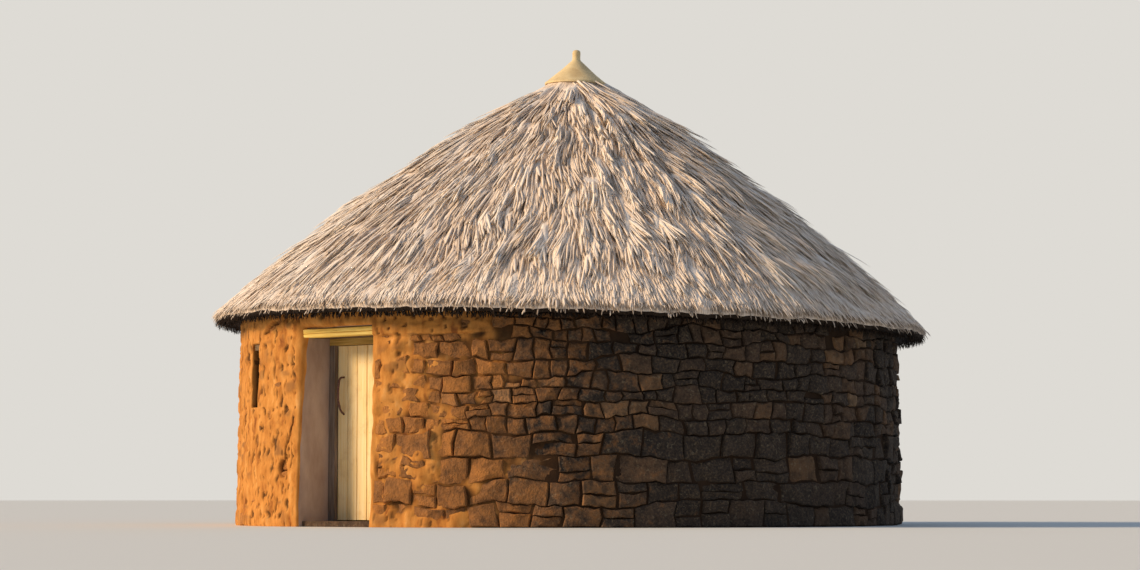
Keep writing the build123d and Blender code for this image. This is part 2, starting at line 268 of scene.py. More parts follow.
reveal_slip = slip_material("mud_slip_floated", "a08b7e", "c2b0a2")
inner_plaster = slip_material("mud_plaster_inside", "6b5138", "97764f")
print("made", reveal_slip.name, "and", inner_plaster.name)

# %% [markdown]
# The stones are dark basalt and brown sandstone from the hillside, laid as they were found. Each
# stone carries a tone, so neighbours differ, and stones near the door have an ochre film of mud,
# which is also painted light: it is strongest towards the lamp and faint on the shaded far side.
# Brown flecks, dark weathered skin and spots of lichen tell the eye that it is rock and not clay.
# The flecks are drawn at 20 mm, several times their real size, to show.

# %% Field stone


def field_stone_material(name, even_tone=None):
    """Rough stone; its tone and film of mud come from the mesh, or one tone serves all over."""
    material, tree = new_material(name, 0.9, 0.25)
    place = add(tree, "ShaderNodeTexCoord")["Object"]
    speckle = grain(tree, place, 20, 5)
    weather = grain(tree, place, 85, 5)
    lichen = grain(tree, place, 34, 3)
    films = [
        (speckle, ((0.44, "000000"), (0.66, "a4a4a4")), "7e6a52"),
        (weather, ((0.36, "c0c0c0"), (0.54, "000000")), "211c19"),
        (lichen, ((0.60, "000000"), (0.68, "9c9c9c")), "93866c"),
    ]
    tone = even_tone
    if even_tone is None:
        tone, ochre = [add(tree, "ShaderNodeAttribute", attribute_name=title)["Fac"]
                       for title in ("tone", "ochre")]
        # This film is mud near the door and painted light too: it follows the same table, strong
        # towards the lamp and faint on the shaded far side.
        film = add(tree, "ShaderNodeMath", {0: weather, 1: 1.0, 2: ochre},
                   operation="MULTIPLY_ADD")[0]
        film = add(tree, "ShaderNodeMapRange", {
            "Value": film, "From Min": 0.80, "From Max": 1.45})[0]
        films.append((film, None, "b0763c"))
    rock = add(tree, "ShaderNodeValToRGB", {0: tone}, stops=(
        (0.0, "2b2623"), (0.3, "3a322c"), (0.5, "4a3b30"), (0.7, "624a35"), (0.9, "7a5b3e"),
        (0.98, "8a7054")))[0]
    lay_over(tree, rock, films, [(weather, 0.030), (speckle, 0.012)])
    return material


field_stone = field_stone_material("field_stone_rough")
threshold_slab = field_stone_material("threshold_slab_worn", even_tone=0.62)
print("made", field_stone.name, "and", threshold_slab.name)

# %% [markdown]
# The wall's layout is worked out once, on the unrolled wall. A mason lays rough courses: the beds
# between them wave, and the blocks low down are larger. Random cells would be quicker to draw but
# have no courses, so the beds come first, as they do on the real wall.

# %% The beds between the courses
DOOR_ARC = math.asin(DOOR_HALF / WALL_BASE)
START_ANGLE = math.radians(-90) + DOOR_ARC
RUN = 2 * (math.pi - DOOR_ARC) * WALL_BASE
STATION_SPACING = 0.060
LOW_COURSES_TOP, BEDS_TOP = 0.80, 2.05
LOW_DEPTHS, UPPER_DEPTHS = (0.17, 0.23), (0.105, 0.160)
stations = np.arange(-0.4, RUN + 0.6, STATION_SPACING)


def run_at(degrees, offset=0.0):
    """Distance round the wall from the door's right edge to an angle, plus a sideways offset."""
    return (math.radians(degrees) - START_ANGLE) * WALL_BASE + offset


def lay_beds():
    """The wavy beds between courses, each as heights at the stations, from the ground up."""
    rng = random.Random(11)
    beds, level = [np.zeros(len(stations))], 0.0
    while level < BEDS_TOP:
        level += rng.uniform(*(LOW_DEPTHS if level < LOW_COURSES_TOP else UPPER_DEPTHS))
        layer = len(beds) * 0.55
        wave = [0.075 * noise.noise((s / 0.55, layer, 0))
                + 0.028 * noise.noise((s / 0.09, layer * 7, 5)) for s in stations]
        beds.append(level + np.array(wave))
    return beds


beds = lay_beds()
print("beds", len(beds), "run round the wall", round(RUN, 3))

# %% [markdown]
# Each stone is an outline between two beds and two joints, so neighbours fit. Stones and mud are
# both shaped from these outlines, so mud swells over a stone. An outline that would reach into the
# doorway, the window or the thatch is cut back there, as a mason picks stones that end there.

# %% Outline a stone and trim it
DOOR_RUN, WINDOW_RUN = run_at(270), run_at(WINDOW_ANGLE + 360)
DOOR_MARGIN, WINDOW_MARGIN, THATCH_MARGIN, SILL_MARGIN = 0.03, 0.135, 0.010, 0.02
LEAST_WIDTH, LEAST_HEIGHT = 0.05, 0.035


def middle(points):
    return [sum(p[k] for p in points) / len(points) for k in (0, 1)]


def extent(points):
    """Width and height of an outline."""
    return [max(p[k] for p in points) - min(p[k] for p in points) for k in (0, 1)]


def stone_outline(lower, upper, left, right, foot, head):
    """Part of a course between two joints; foot and head are shares of the course's depth."""

    def edge(share):
        bed = lower + (upper - lower) * share
        start, end = (float(np.interp(share, (0, 0.5, 1), joint)) for joint in (left, right))
        inner = stations[(stations > start + 0.022) & (stations < end - 0.022)]
        return [(float(s), float(np.interp(s, stations, bed))) for s in (start, *inner, end)]

    waist = edge(0.5) if foot < 0.5 < head else []
    return edge(foot) + waist[-1:] + edge(head)[::-1] + waist[:1]


def cut(outline, point, outward):
    """The part of an outline behind a straight line."""
    kept = []
    for a, b in zip(outline, outline[1:] + outline[:1]):
        before = (a[0] - point[0]) * outward[0] + (a[1] - point[1]) * outward[1]
        after = (b[0] - point[0]) * outward[0] + (b[1] - point[1]) * outward[1]
        if before <= 0:
            kept.append(a)
        if (before <= 0) != (after <= 0):
            t = before / (before - after)
            kept.append((a[0] + (b[0] - a[0]) * t, a[1] + (b[1] - a[1]) * t))
    return kept


def trim(cell):
    """Cut a stone back from the doorway, the ground, the thatch and the window."""
    run, level = middle(cell)
    top = float(eave_line(START_ANGLE + run / WALL_BASE)) - THATCH_MARGIN
    lines = [((DOOR_MARGIN, 0), (-1, 0)), ((RUN - DOOR_MARGIN, 0), (1, 0)),
             ((0, 0), (0, -1)), ((0, top), (0, 1))]
    aside = run - WINDOW_RUN
    if abs(aside) < 0.13:
        if WINDOW_SILL - 0.04 < level < WINDOW_HEAD + 0.04:
            return []
        above = level > WINDOW_HEAD
        lines.append(((0, WINDOW_HEAD + SILL_MARGIN), (0, -1)) if above
                     else ((0, WINDOW_SILL - SILL_MARGIN), (0, 1)))
    elif abs(aside) < 0.6 and WINDOW_SILL - 0.1 < level < WINDOW_HEAD + 0.1:
        side = math.copysign(1, aside)
        lines.append(((WINDOW_RUN + side * WINDOW_MARGIN, 0), (-side, 0)))
    for point, outward in lines:
        cell = cut(cell, point, outward)
    if len(cell) < 4:
        return []
    wide, high = extent(cell)
    return cell if wide > LEAST_WIDTH and high > LEAST_HEIGHT else []


print("doorway at", round(DOOR_RUN, 3), "and window at", round(WINDOW_RUN, 3), "round the wall")

# %% [markdown]
# Along a course a stone is about one and a half times as long as it is deep. Joints slant, and
# here and there two small stones fill the place of one, more often in the deep low courses.

# %% Lay the stones
LENGTH_TO_DEPTH, JOINT_SLANT, DEEP_COURSE = (0.95, 2.15), 0.028, 0.165
PAIRS_IN_DEEP, PAIRS_IN_SHALLOW = 0.32, 0.14


def lay_stones():
    rng = random.Random(12)
    cells = []
    for lower, upper in zip(beds, beds[1:]):
        depth = float(np.mean(upper - lower))
        joint = (-0.1 - rng.uniform(0, 0.1),) * 3
        while joint[1] < RUN:
            reach = joint[1] + depth * rng.uniform(*LENGTH_TO_DEPTH)
            after = (reach + rng.uniform(-JOINT_SLANT, JOINT_SLANT), reach,
                     reach + rng.uniform(-JOINT_SLANT, JOINT_SLANT))
            share = rng.uniform(0.38, 0.62)
            two = rng.random() < (PAIRS_IN_DEEP if depth > DEEP_COURSE else PAIRS_IN_SHALLOW)
            for foot, head in ((0.0, share), (share, 1.0)) if two else ((0.0, 1.0),):
                cells.append(trim(stone_outline(lower, upper, joint, after, foot, head)))
            joint = after
    return [cell for cell in cells if cell]


cells = lay_stones()
print("stones", len(cells), "corners", sum(len(cell) for cell in cells))

# %% [markdown]
# How much mud is left changes round the wall: nearly all of it left of the door and under the
# eaves, about half right of the door, and only the joints on the far sides. These are read
# from a short table of angles, and noise breaks up their edges.

# %% Where the mud is left


def lumps(places, size, seed=0):
    """Smooth bumps from -1 to 1 on rows of points, about size metres across."""
    shift = Vector((13.7, 7.1, 3.3)) * (seed + 1)
    return np.array([noise.noise(Vector(place) / size + shift) for place in places])


def smooth_step(values, low, high):
    share = np.clip((values - low) / (high - low), 0, 1)
    return share * share * (3 - 2 * share)


def by_angle(angle, table):
    """Values from a table of degrees, repeated round the wall."""
    degrees = (np.degrees(angle) + 180) % 360 - 180
    return np.interp(degrees, [row[0] for row in table], [row[1] for row in table], period=360)


COVER = ((-150, 0.80), (-131, 0.97), (-98, 1.0), (-80, 0.54), (-70, 0.44), (-60, 0.30), (-48, 0.18),
         (-35, 0.10), (0, 0.06), (60, 0.12), (120, 0.20), (170, 0.35))
# The ochre table is mud by the door, and painted light and shade as well: highest towards the lamp,
# lowest on the far side, where shade falls.
OCHRE_AND_PAINTED_LIGHT = ((-150, 0.85), (-131, 1.0), (-98, 1.0), (-80, 0.90), (-62, 0.70), (-48, 0.42), (-35, 0.22),
         (-20, 0.10), (60, 0.08), (130, 0.25), (170, 0.55))
OVER_DOOR = ((-108, 0), (-98, 1), (-66, 1), (-58, 0))


def mud_cover(places, angle, height):
    """From 0, where only stones and joints are left, to 1, where the mud is whole."""
    under_eave = smooth_step(height, 1.66, 1.74) * by_angle(angle, OVER_DOOR)
    at_foot = 0.10 * smooth_step(-height, -0.25, 0)
    cover = np.maximum(by_angle(angle, COVER), under_eave) + at_foot
    cover = cover + 0.24 * lumps(places, 0.42, 3) + 0.16 * lumps(places, 0.13, 4)
    return smooth_step(cover, 0.25, 0.75)


print("mud left of the door, right of it and behind",
      [round(float(by_angle(math.radians(degrees), COVER)), 2) for degrees in (-105, -70, 90)])

# %% [markdown]
# The mud facing is one sheet laid round the wall as a grid of columns and rows. The grid is fine
# near the door and window and coarser behind. Its edges round over into the openings, as plaster
# does at a corner that is brushed past every day, and carry on inwards as the reveals.

# %% Columns and rows of the facing
CLOSE_TO_EDGE = (0.004, 0.010, 0.018, 0.028, 0.040, 0.055)


def marks(start, end, spacing, tight_start=False, tight_end=False):
    """Even marks between two values, with extra ones close to a rounded edge."""
    count = max(2, round(abs(end - start) / spacing))
    fine = np.array(CLOSE_TO_EDGE) * math.copysign(1, end - start)
    extra = [start + v for v in fine] * tight_start + [end - v for v in fine] * tight_end
    kept = [v for v in np.linspace(start, end, count + 1)
            if v in (start, end) or all(abs(v - e) > 0.008 for e in extra)]
    return sorted(kept + extra, reverse=end < start)


def joined(sets):
    """One run of marks from sets that meet, and the number of each set's last mark."""
    line, ends = [sets[0][0]], []
    for values in sets:
        line.extend(values[1:])
        ends.append(len(line) - 1)
    return np.array(line), ends


FINEST, CLOSE, FINE, MEDIUM, COARSE = 0.008, 0.012, 0.014, 0.022, 0.042
EDGE_LAP, LINTEL_GAP = 0.004, 0.007
EAVE_ROWS = 8
window_edge = WINDOW_HALF - EDGE_LAP
window_sides = (WINDOW_RUN - window_edge, WINDOW_RUN + window_edge)
door_half_run = math.asin((DOOR_HALF - EDGE_LAP) / WALL_BASE) * WALL_BASE
door_sides = (DOOR_RUN - door_half_run, DOOR_RUN + door_half_run)
columns, column_ends = joined([
    marks(run_at(-90, door_half_run), run_at(45), MEDIUM, tight_start=True),
    marks(run_at(45), run_at(200), COARSE),
    marks(run_at(200), run_at(228), MEDIUM),
    marks(run_at(228), window_sides[0], FINE, tight_end=True),
    marks(*window_sides, MEDIUM),
    marks(window_sides[1], run_at(256), FINE, tight_start=True),
    marks(run_at(256), door_sides[0], FINEST, tight_end=True),
    marks(*door_sides, MEDIUM),
])
rows, row_ends = joined([
    marks(0.0, WINDOW_SILL + EDGE_LAP, MEDIUM, tight_end=True),
    marks(WINDOW_SILL + EDGE_LAP, WINDOW_HEAD - EDGE_LAP, MEDIUM),
    marks(WINDOW_HEAD - EDGE_LAP, LINTEL_TOP + LINTEL_GAP, CLOSE),
])
window_columns, door_columns = column_ends[3:5], column_ends[6:8]
window_rows, door_row = row_ends[0:2], row_ends[2]
print("facing grid", len(columns), "by", len(rows) + EAVE_ROWS)

# %% [markdown]
# The grid is rolled round the wall. Its last rows are stretched between the lintel's top and the
# eaves, which run at a slant because the roof leans. Then every point learns how much mud covers it
# and whether it lies over the middle of a stone or over a joint.

# %% Roll the grid round the wall


def around(radius, angle, height):
    """Points at a distance from the hut's axis, in a direction and at a height."""
    parts = (radius * np.cos(angle), radius * np.sin(angle), height)
    return np.stack(np.broadcast_arrays(*parts), axis=-1)


def stone_swell(run, height):
    """1 over the middle of a stone and 0 over the joint between two."""
    inside = np.zeros(run.shape)
    for cell in cells:
        (x_low, z_low), (x_high, z_high) = np.min(cell, axis=0), np.max(cell, axis=0)
        near = np.nonzero((run > x_low) & (run < x_high) & (height > z_low) & (height < z_high))[0]
        depth = np.full(len(near), 9.0)
        for (ax, az), (bx, bz) in zip(cell, cell[1:] + cell[:1]):
            across = (bx - ax) * (height[near] - az) - (bz - az) * (run[near] - ax)
            depth = np.minimum(depth, across / math.hypot(bx - ax, bz - az))
        inside[near] = np.maximum(inside[near], depth)
    return smooth_step(inside, 0.0, 0.030)


eave = eave_line(START_ANGLE + columns / WALL_BASE) + EDGE_LAP
share = (np.arange(EAVE_ROWS) + 1)[:, None] / EAVE_ROWS
height_grid = np.repeat(rows[:, None], len(columns), axis=1)
height_grid = np.vstack([height_grid, rows[-1] + (eave - rows[-1]) * share])
column_grid = np.repeat(columns[None, :], len(height_grid), axis=0)
angle_grid = START_ANGLE + column_grid / WALL_BASE
places = around(WALL_BASE, angle_grid, height_grid).reshape(-1, 3)
flat_angle, flat_height, flat_column = angle_grid.ravel(), height_grid.ravel(), column_grid.ravel()
cover = mud_cover(places, flat_angle, flat_height)
dome = stone_swell(flat_column, flat_height)
print("points", len(places), "share that mud covers", round(float(cover.mean()), 2))

# %% [markdown]
# Three things break the mud by the door. A stone's mud fell out low down on the left and left a
# dip, a crack runs up from it, and rain from the eaves has worn a slanting scar beside the lintel.
# Each is drawn by how near a point lies to a short line on the unrolled wall.

# %% The dip, the crack and the scar
CRACK = ((-99.6, 0.98), (-100.3, 0.86), (-101.6, 0.72), (-102.0, 0.60), (-102.8, 0.53))
SCAR = ((-110, 1.80), (-104.8, 1.90))
DIP = CRACK[-1]


def near_line(run, height, line):
    """Distance on the unrolled wall to a line of (degrees, height) points."""
    nearest = np.full(run.shape, 9.0)
    points = [(run_at(degrees + 360), level) for degrees, level in line]
    for (x0, z0), (x1, z1) in zip(points, points[1:]):
        span = (x1 - x0) ** 2 + (z1 - z0) ** 2
        t = np.clip(((run - x0) * (x1 - x0) + (height - z0) * (z1 - z0)) / span, 0, 1)
        gap = np.hypot(run - x0 - t * (x1 - x0), height - z0 - t * (z1 - z0))
        nearest = np.minimum(nearest, gap)
    return nearest


crack = 1 - smooth_step(near_line(flat_column, flat_height, CRACK), 0.004, 0.015)
dip_gap = np.hypot(flat_column - run_at(DIP[0] + 360), (flat_height - DIP[1]) * 0.9)
dip = 1 - smooth_step(dip_gap, 0.055, 0.080)
scar = 1 - smooth_step(near_line(flat_column, flat_height, SCAR), 0.012, 0.045)
cover = np.clip(cover - dip - scar, 0, 1)
print("points in the crack, the dip and the scar",
      [int((share > 0.5).sum()) for share in (crack, dip, scar)])

# %% [markdown]
# Plaster rounds over at a corner. The further a point lies from an opening's edge, up to the
# rounding's radius, the less it falls back, as on a quarter circle. The doorway's left edge is
# rounded most, and more so higher up.

# %% Round the edges of the openings


def rounding(gap, radius):
    inside = np.clip(radius - gap, 0, None)
    return radius - np.sqrt(np.clip(radius ** 2 - inside ** 2, 0, None))


far_half = flat_column > RUN / 2
door_gap = np.hypot(
    np.maximum(np.abs(flat_column - DOOR_RUN) - door_half_run, 0) * far_half
    + np.maximum(flat_column - run_at(-90, door_half_run), 0) * ~far_half,
    np.maximum(flat_height - rows[-1], 0),
)
left_edge = 0.028 + 0.055 * smooth_step(flat_height, 0.7, 1.7)
door_round = np.where(far_half & (flat_column < DOOR_RUN), left_edge, 0.034)
door_round = door_round * (1 + 0.35 * lumps(places, 0.22, 8))
sill, head = rows[window_rows[0]], rows[window_rows[1]]
window_gap = np.hypot(
    np.maximum(np.abs(flat_column - WINDOW_RUN) - window_edge, 0),
    np.maximum(np.maximum(sill - flat_height, flat_height - head), 0),
)
window_round = 0.011 * (1 + 0.4 * lumps(places, 0.15, 9))
fall_back = rounding(door_gap, door_round) + rounding(window_gap, window_round)
print("edges fall back up to", round(float(fall_back.max()), 3))

# %% [markdown]
# Now the sheet gets its shape. A point's distance from the hut's axis is the battered radius plus
# the mud: 48 mm back in a bare joint, 10 mm proud where the mud is whole, and a little more over a
# stone. Pits and hand-made lumps go on top. The numbers for the material are worked out alongside.

# %% Shape the facing
pits = smooth_step(lumps(places * (1, 1, 0.55), 0.062, 14), 0.37, 0.44)
pits = np.maximum(pits, smooth_step(lumps(places * (1, 1, 0.7), 0.036, 15), 0.44, 0.50)) * cover
pits = pits * smooth_step(door_gap, 0.040, 0.090)
offset = -0.048 + 0.058 * cover + 0.010 * dome * cover - 0.018 * pits
offset += 0.010 * lumps(places, 0.30, 5) * cover
offset += 0.004 * lumps(places, 0.09, 6) + 0.002 * lumps(places, 0.035, 7)
offset -= 0.034 * crack + 0.012 * dip
offset -= fall_back
skin = around(wall_radius(flat_height) + offset, flat_angle, flat_height)
ghosts = smooth_step(dome * (0.45 + 0.9 * lumps(places, 0.25, 12)), 0.30, 0.80)
thin = ghosts * smooth_step(cover, 0.5, 0.9) * 0.7
bare = 1 - smooth_step(cover, 0.05, 0.45)
# Besides the bare joints, the joint number paints shade into the pits, the crack and the dip.
joint = np.clip(bare * 0.85 + crack + dip + 0.8 * pits, 0, 1)
ochre = np.clip(by_angle(flat_angle, OCHRE_AND_PAINTED_LIGHT) + 0.15 * lumps(places, 0.5, 13), 0, 1)
print("mud from", round(float(offset.min()), 3), "to", round(float(offset.max()), 3))

# %% [markdown]
# Points and faces become a mesh in the same way for every piece, so a few helpers do it. An object
# stays at the origin, with its place in its mesh, so that patterns don't slide on it. Numbers such
# as a stone's tone are stored a point, and a material reads them by name.

# %% Helpers for meshes


def shade_smooth(mesh):
    mesh.polygons.foreach_set("use_smooth", [True] * len(mesh.polygons))


def make_piece(name, points, faces, materials, body="hut"):
    """A mesh object at the origin, with its place in its mesh."""
    mesh = bpy.data.meshes.new(name)
    mesh.from_pydata([tuple(p) for p in points], [], faces)
    shade_smooth(mesh)
    for material in materials:
        mesh.materials.append(material)
    piece = bpy.data.objects.new(name, mesh)
    bpy.context.scene.collection.objects.link(piece)
    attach(piece, body)
    return piece


def edit_mesh(mesh, change, sources=()):
    """Change a mesh as a bmesh, which is filled from the mesh itself or from others."""
    bm = bmesh.new()
    for source in sources or [mesh]:
        bm.from_mesh(source)
    change(bm)
    bm.to_mesh(mesh)
    bm.free()


def merge_doubles(bm, gap=0.0003):
    bmesh.ops.remove_doubles(bm, verts=bm.verts, dist=gap)


def give_values(piece, name, values):
    """Store one number a point for a material to read."""
    attribute = piece.data.attributes.new(name, "FLOAT", "POINT")
    attribute.data.foreach_set("value", np.asarray(values, float))


def ring_faces(first, count, rings):
    """Quads between closed rings of points, numbered on from the first point."""
    return [(a + k, a + (k + 1) % count, a + count + (k + 1) % count, a + count + k)
            for a in range(first, first + (rings - 1) * count, count) for k in range(count)]


# %% [markdown]
# The sheet's faces leave out the doorway and the slot window. From each edge point of an opening
# a short row of points goes inwards, which makes the reveals: to the frame in the doorway, and
# right through the wall in the window.

# %% Join the facing into a mesh
FRAME_FACE = -2.800
WINDOW_DEPTH = 0.42
row_count, column_count = angle_grid.shape


def at(row, column):
    return row * column_count + column % column_count


def in_opening(row, column):
    in_door = row < door_row and door_columns[0] <= column < door_columns[1]
    return in_door or (window_rows[0] <= row < window_rows[1]
                       and window_columns[0] <= column < window_columns[1])


faces = [(at(row, column), at(row, column + 1), at(row + 1, column + 1), at(row + 1, column))
         for row in range(row_count - 1) for column in range(column_count - 1)
         if not in_opening(row, column)]
finish = [0] * len(faces)
points = list(skin)
values = {"thin": list(thin), "joint": list(joint), "ochre": list(ochre)}


def extend_inwards(edge, direction, ends, count, slot_number):
    """Rows of points from an edge, each step nearer to its end; edge is a list of point numbers."""
    previous = edge
    for step in range(1, count + 1):
        current = list(range(len(points), len(points) + len(edge)))
        for number, end in zip(edge, ends):
            points.append(tuple(Vector(skin[number]) + direction * (end * step / count)))
            values["ochre"].append(values["ochre"][number])
            values["thin"].append(0.0)
            # In the window the reveal takes a high joint number, which paints shade into the slot.
            values["joint"].append(0.85 if slot_number == 0 else 0.0)
        faces.extend(zip(previous, previous[1:], current[1:], current))
        finish.extend([slot_number] * (len(edge) - 1))
        previous = current


left, right = door_columns
# The last column is the door's right edge once more, so that edge takes the first column.
door_path = (
    [at(row, 0) for row in range(door_row)]
    + [at(door_row, column) for column in range(right, left, -1)]
    + [at(row, left) for row in range(door_row, -1, -1)]
)
reach = [FRAME_FACE - skin[number][1] for number in door_path]
extend_inwards(door_path, Vector((0, 1, 0)), reach, 10, 1)
window_turn = math.radians(WINDOW_ANGLE)
window_in = -Vector((math.cos(window_turn), math.sin(window_turn), 0))
(low, high), (left, right) = window_rows, window_columns
window_path = (
    [at(row, left) for row in range(high, low, -1)]
    + [at(low, column) for column in range(left, right)]
    + [at(row, right) for row in range(low, high)]
    + [at(high, column) for column in range(right, left - 1, -1)]
)
extend_inwards(window_path, window_in, [WINDOW_DEPTH] * len(window_path), 8, 0)
facing = make_piece("mud_facing", points, faces, [mud_facing, reveal_slip])
facing.data.polygons.foreach_set("material_index", finish)
for key, numbers in values.items():
    give_values(facing, key, numbers)
edit_mesh(facing.data, merge_doubles)
print("facing faces", len(facing.data.polygons))

# %% [markdown]
# Behind the facing stands the wall's core. It is a merged copy of the CAD wall, with its outer
# face moved in behind the joints. It shows only inside the hut, where it is plastered.

# %% The wall's core
JOINT_DEPTH = 0.070
OUTER_FACE_FROM = 3.10
wall_nodes = [f"wall_bay_{n}" for n in range(1, 9)] + ["wall_window_bay", "wall_over_door"]


def move_outer_face_in(bm):
    merge_doubles(bm, 0.0002)
    for vert in bm.verts:
        reach = math.hypot(vert.co.x, vert.co.y)
        if reach > OUTER_FACE_FROM:
            if abs(vert.co.x) < DOOR_HALF + 0.001 and vert.co.y < 0:
                vert.co.y += JOINT_DEPTH
            else:
                vert.co.x *= 1 - JOINT_DEPTH / reach
                vert.co.y *= 1 - JOINT_DEPTH / reach


core = make_piece("wall_core", [], [], [inner_plaster])
edit_mesh(core.data, move_outer_face_in, [nodes[name].data for name in wall_nodes])
core.data.polygons.foreach_set("material_index", [0] * len(core.data.polygons))
shade_smooth(core.data)
core.data.set_sharp_from_angle(angle=math.radians(25))
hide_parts(*wall_nodes)
print("core faces", len(core.data.polygons))

# %% [markdown]
# Each stone is a closed block. Its face was broken by a hammer, so it is the lowest of three
# tilted planes, which meet in blunt ridges, with a little roughness on top. Rings of points carry
# it from the back, round the worn edge, to the middle. There are over a thousand stones, so each
# has only a few dozen faces. A few small ones have dropped out of their bed, most of them in the
# thin mud by the door, and leave dark holes.

# %% Shape one stone
STONE_BACK, STONE_DEEPEST, STONE_PROUDEST = -0.090, -0.050, 0.022
WORN_EDGE = 0.012
SMALL_STONE = 0.022


def stone_rings(cell, rng):
    """Rings of (run, height, depth) from the stone's back to the middle of its broken face."""
    centre = middle(cell)
    gap, base, seed = rng.uniform(0.003, 0.014), rng.uniform(-0.036, -0.004), rng.uniform(0, 90)
    facets = [(rng.uniform(-0.26, 0.26), rng.uniform(-0.26, 0.26), rng.uniform(0.006, 0.020))
              for _ in range(3)]

    def face(x, z):
        broken = min(lift + a * x + b * z for a, b, lift in facets)
        rough = 0.013 * noise.noise((x * 24 + seed, z * 24, seed))
        return min(max(base + broken + rough, STONE_DEEPEST), STONE_PROUDEST)

    def ring(inset, size, drop):
        points = []
        for corner in cell:
            x, z = corner[0] - centre[0], corner[1] - centre[1]
            share = size * max(0.3, 1 - inset / math.hypot(x, z))
            depth = face(x * share, z * share) - drop
            points.append((centre[0] + x * share, centre[1] + z * share, depth))
        return points

    edge = ring(gap, 1, WORN_EDGE)
    back = [(x, z, STONE_BACK) for x, z, _ in edge]
    return [back, edge, ring(gap + WORN_EDGE, 1, 0), ring(0.01, 0.55, 0)], (*centre, face(0, 0))


def has_dropped(cell, centre, film):
    """Small stones that lie in a loose spot have dropped out; film is the ochre table's value: mud
    by the door, and painted light towards the lamp.
    """
    wide, high = extent(cell)
    looseness = noise.noise((centre[0] / 0.31, centre[1] / 0.23, 8.8))
    return wide * high < SMALL_STONE and looseness > 0.34 - 0.18 * film


print("a stone lies from", STONE_BACK, "to at most", STONE_PROUDEST, "off the CAD wall's face")

# %% [markdown]
# Stones come from one heap after another, so their tone follows smooth noise round the wall, with
# a chance of its own on top. All of them become one mesh, with a tone and a film stored at every
# point, because a thousand pieces would be slow to handle. The film is mud near the door, and
# painted light towards the lamp.

# %% Set the stones in the wall
rng = random.Random(5)
points, faces, tones, ochres, dropped = [], [], [], [], 0
for cell in cells:
    rings, centre = stone_rings(cell, rng)
    cluster = noise.noise((centre[0] / 0.9, centre[1] / 0.45, 3))
    tone = 0.34 + 0.75 * cluster + rng.uniform(-0.34, 0.34) * rng.uniform(0.4, 1.4)
    film = float(by_angle(START_ANGLE + centre[0] / WALL_BASE, OCHRE_AND_PAINTED_LIGHT))
    stone_film_and_light = film * rng.uniform(0.75, 1.15)
    if has_dropped(cell, centre, film):
        dropped += 1
        continue
    first, count = len(points), len(cell)
    for run, level, depth in [p for ring in rings for p in ring] + [centre]:
        angle = START_ANGLE + run / WALL_BASE
        reach = wall_radius(level) + depth
        points.append((reach * math.cos(angle), reach * math.sin(angle), max(level, 0.0)))
    faces += ring_faces(first, count, len(rings))
    last = first + 3 * count
    faces += [(last + k, last + (k + 1) % count, last + count) for k in range(count)]
    faces.append(tuple(first + k for k in reversed(range(count))))
    tones += [min(max(tone, 0.0), 1.0)] * (len(points) - first)
    ochres += [stone_film_and_light] * (len(points) - first)
stones = make_piece("rubble_stones", points, faces, [field_stone])
stones.data.set_sharp_from_angle(angle=math.radians(28))
give_values(stones, "tone", tones)
give_values(stones, "ochre", ochres)
print("stone faces", len(faces), "stones dropped", dropped)

# %% [markdown]
# Thatch on such a hut is mountain grass in bundles, laid from the eaves up and pinned to the
# laths. Years of sun turn it grey, and on a cold morning its upper side is silver with frost.
# What the eye reads is straw that runs down the slope in tufts, so the finish follows each
# piece's own UV map, in metres: U across the straw and V along it. Each wisp repeats its kind's
# UV map, so a number of its own shifts the pattern on it.

# %% Frosted thatch


def straw_material(name, width, length, stops, gap_colour, stain=None):
    """Strands run along V; their width and length are in millimetres."""
    material, tree = new_material(name, 0.88, 0.15)
    straw = add(tree, "ShaderNodeUVMap", uv_map="UVMap")["UV"]
    place = add(tree, "ShaderNodeTexCoord")["Object"]
    tone, shift = [add(tree, "ShaderNodeAttribute", attribute_name=title)["Fac"]
                   for title in ("tone", "shift")]
    moved = add(tree, "ShaderNodeCombineXYZ", {"X": shift, "Y": shift})[0]
    spread = add(tree, "ShaderNodeVectorMath", {0: moved, 1: (7, 3, 0), 2: straw},
                 operation="MULTIPLY_ADD")[0]
    strands = grain(tree, spread, (width, length, 1000), 5, 0.7)
    fibres = grain(tree, spread, (width / 2, length / 2, 1000), 3, 0.6)
    tone = add(tree, "ShaderNodeMath", {0: tone, 1: 0.42}, operation="MULTIPLY")[0]
    both = add(tree, "ShaderNodeMath", {0: strands, 1: 0.55, 2: tone}, operation="MULTIPLY_ADD")[0]
    colour = add(tree, "ShaderNodeValToRGB", {0: both}, stops=stops)[0]
    # Single straws are 3 mm thick; the gaps between them are drawn twice as far apart, to be seen
    films = [(fibres, ((0.33, "b4b4b4"), (0.47, "000000")), gap_colour)]
    if stain:
        patches = grain(tree, place, 450, 4)
        films.append((patches, ((0.45, "000000"), (0.75, "4a4a4a")), stain))
    lay_over(tree, colour, films, [(strands, 0.0032), (fibres, 0.0012)])
    return material


frosted_thatch = straw_material(
    "grass_thatch_frosted", 13, 310, (
        (0.17, "4a3e35"), (0.25, "96836f"), (0.33, "e0ceb8"), (0.46, "fae8d2"), (0.70, "fff4e3")),
    "877562", stain="dcc2a0")
# The cut ends are unfrosted grass, and their near-black colours are painted shade too, for the
# eave's underside.
cut_straw_shaded = straw_material(
    "grass_thatch_cut_ends", 7, 160, ((0.25, "1a1512"), (0.5, "3c2f24"), (0.85, "6b5642")),
    "15110e")
print("made", frosted_thatch.name, "and", cut_straw_shaded.name)

# %% [markdown]
# The straw coat is one closed skin: down the slope from the cap, over the rounded eave, back
# under it to the wall and up inside over the laths. Its outline is drawn once, as radius and
# height, and turned about the hut's axis.

# %% The straw coat's outline


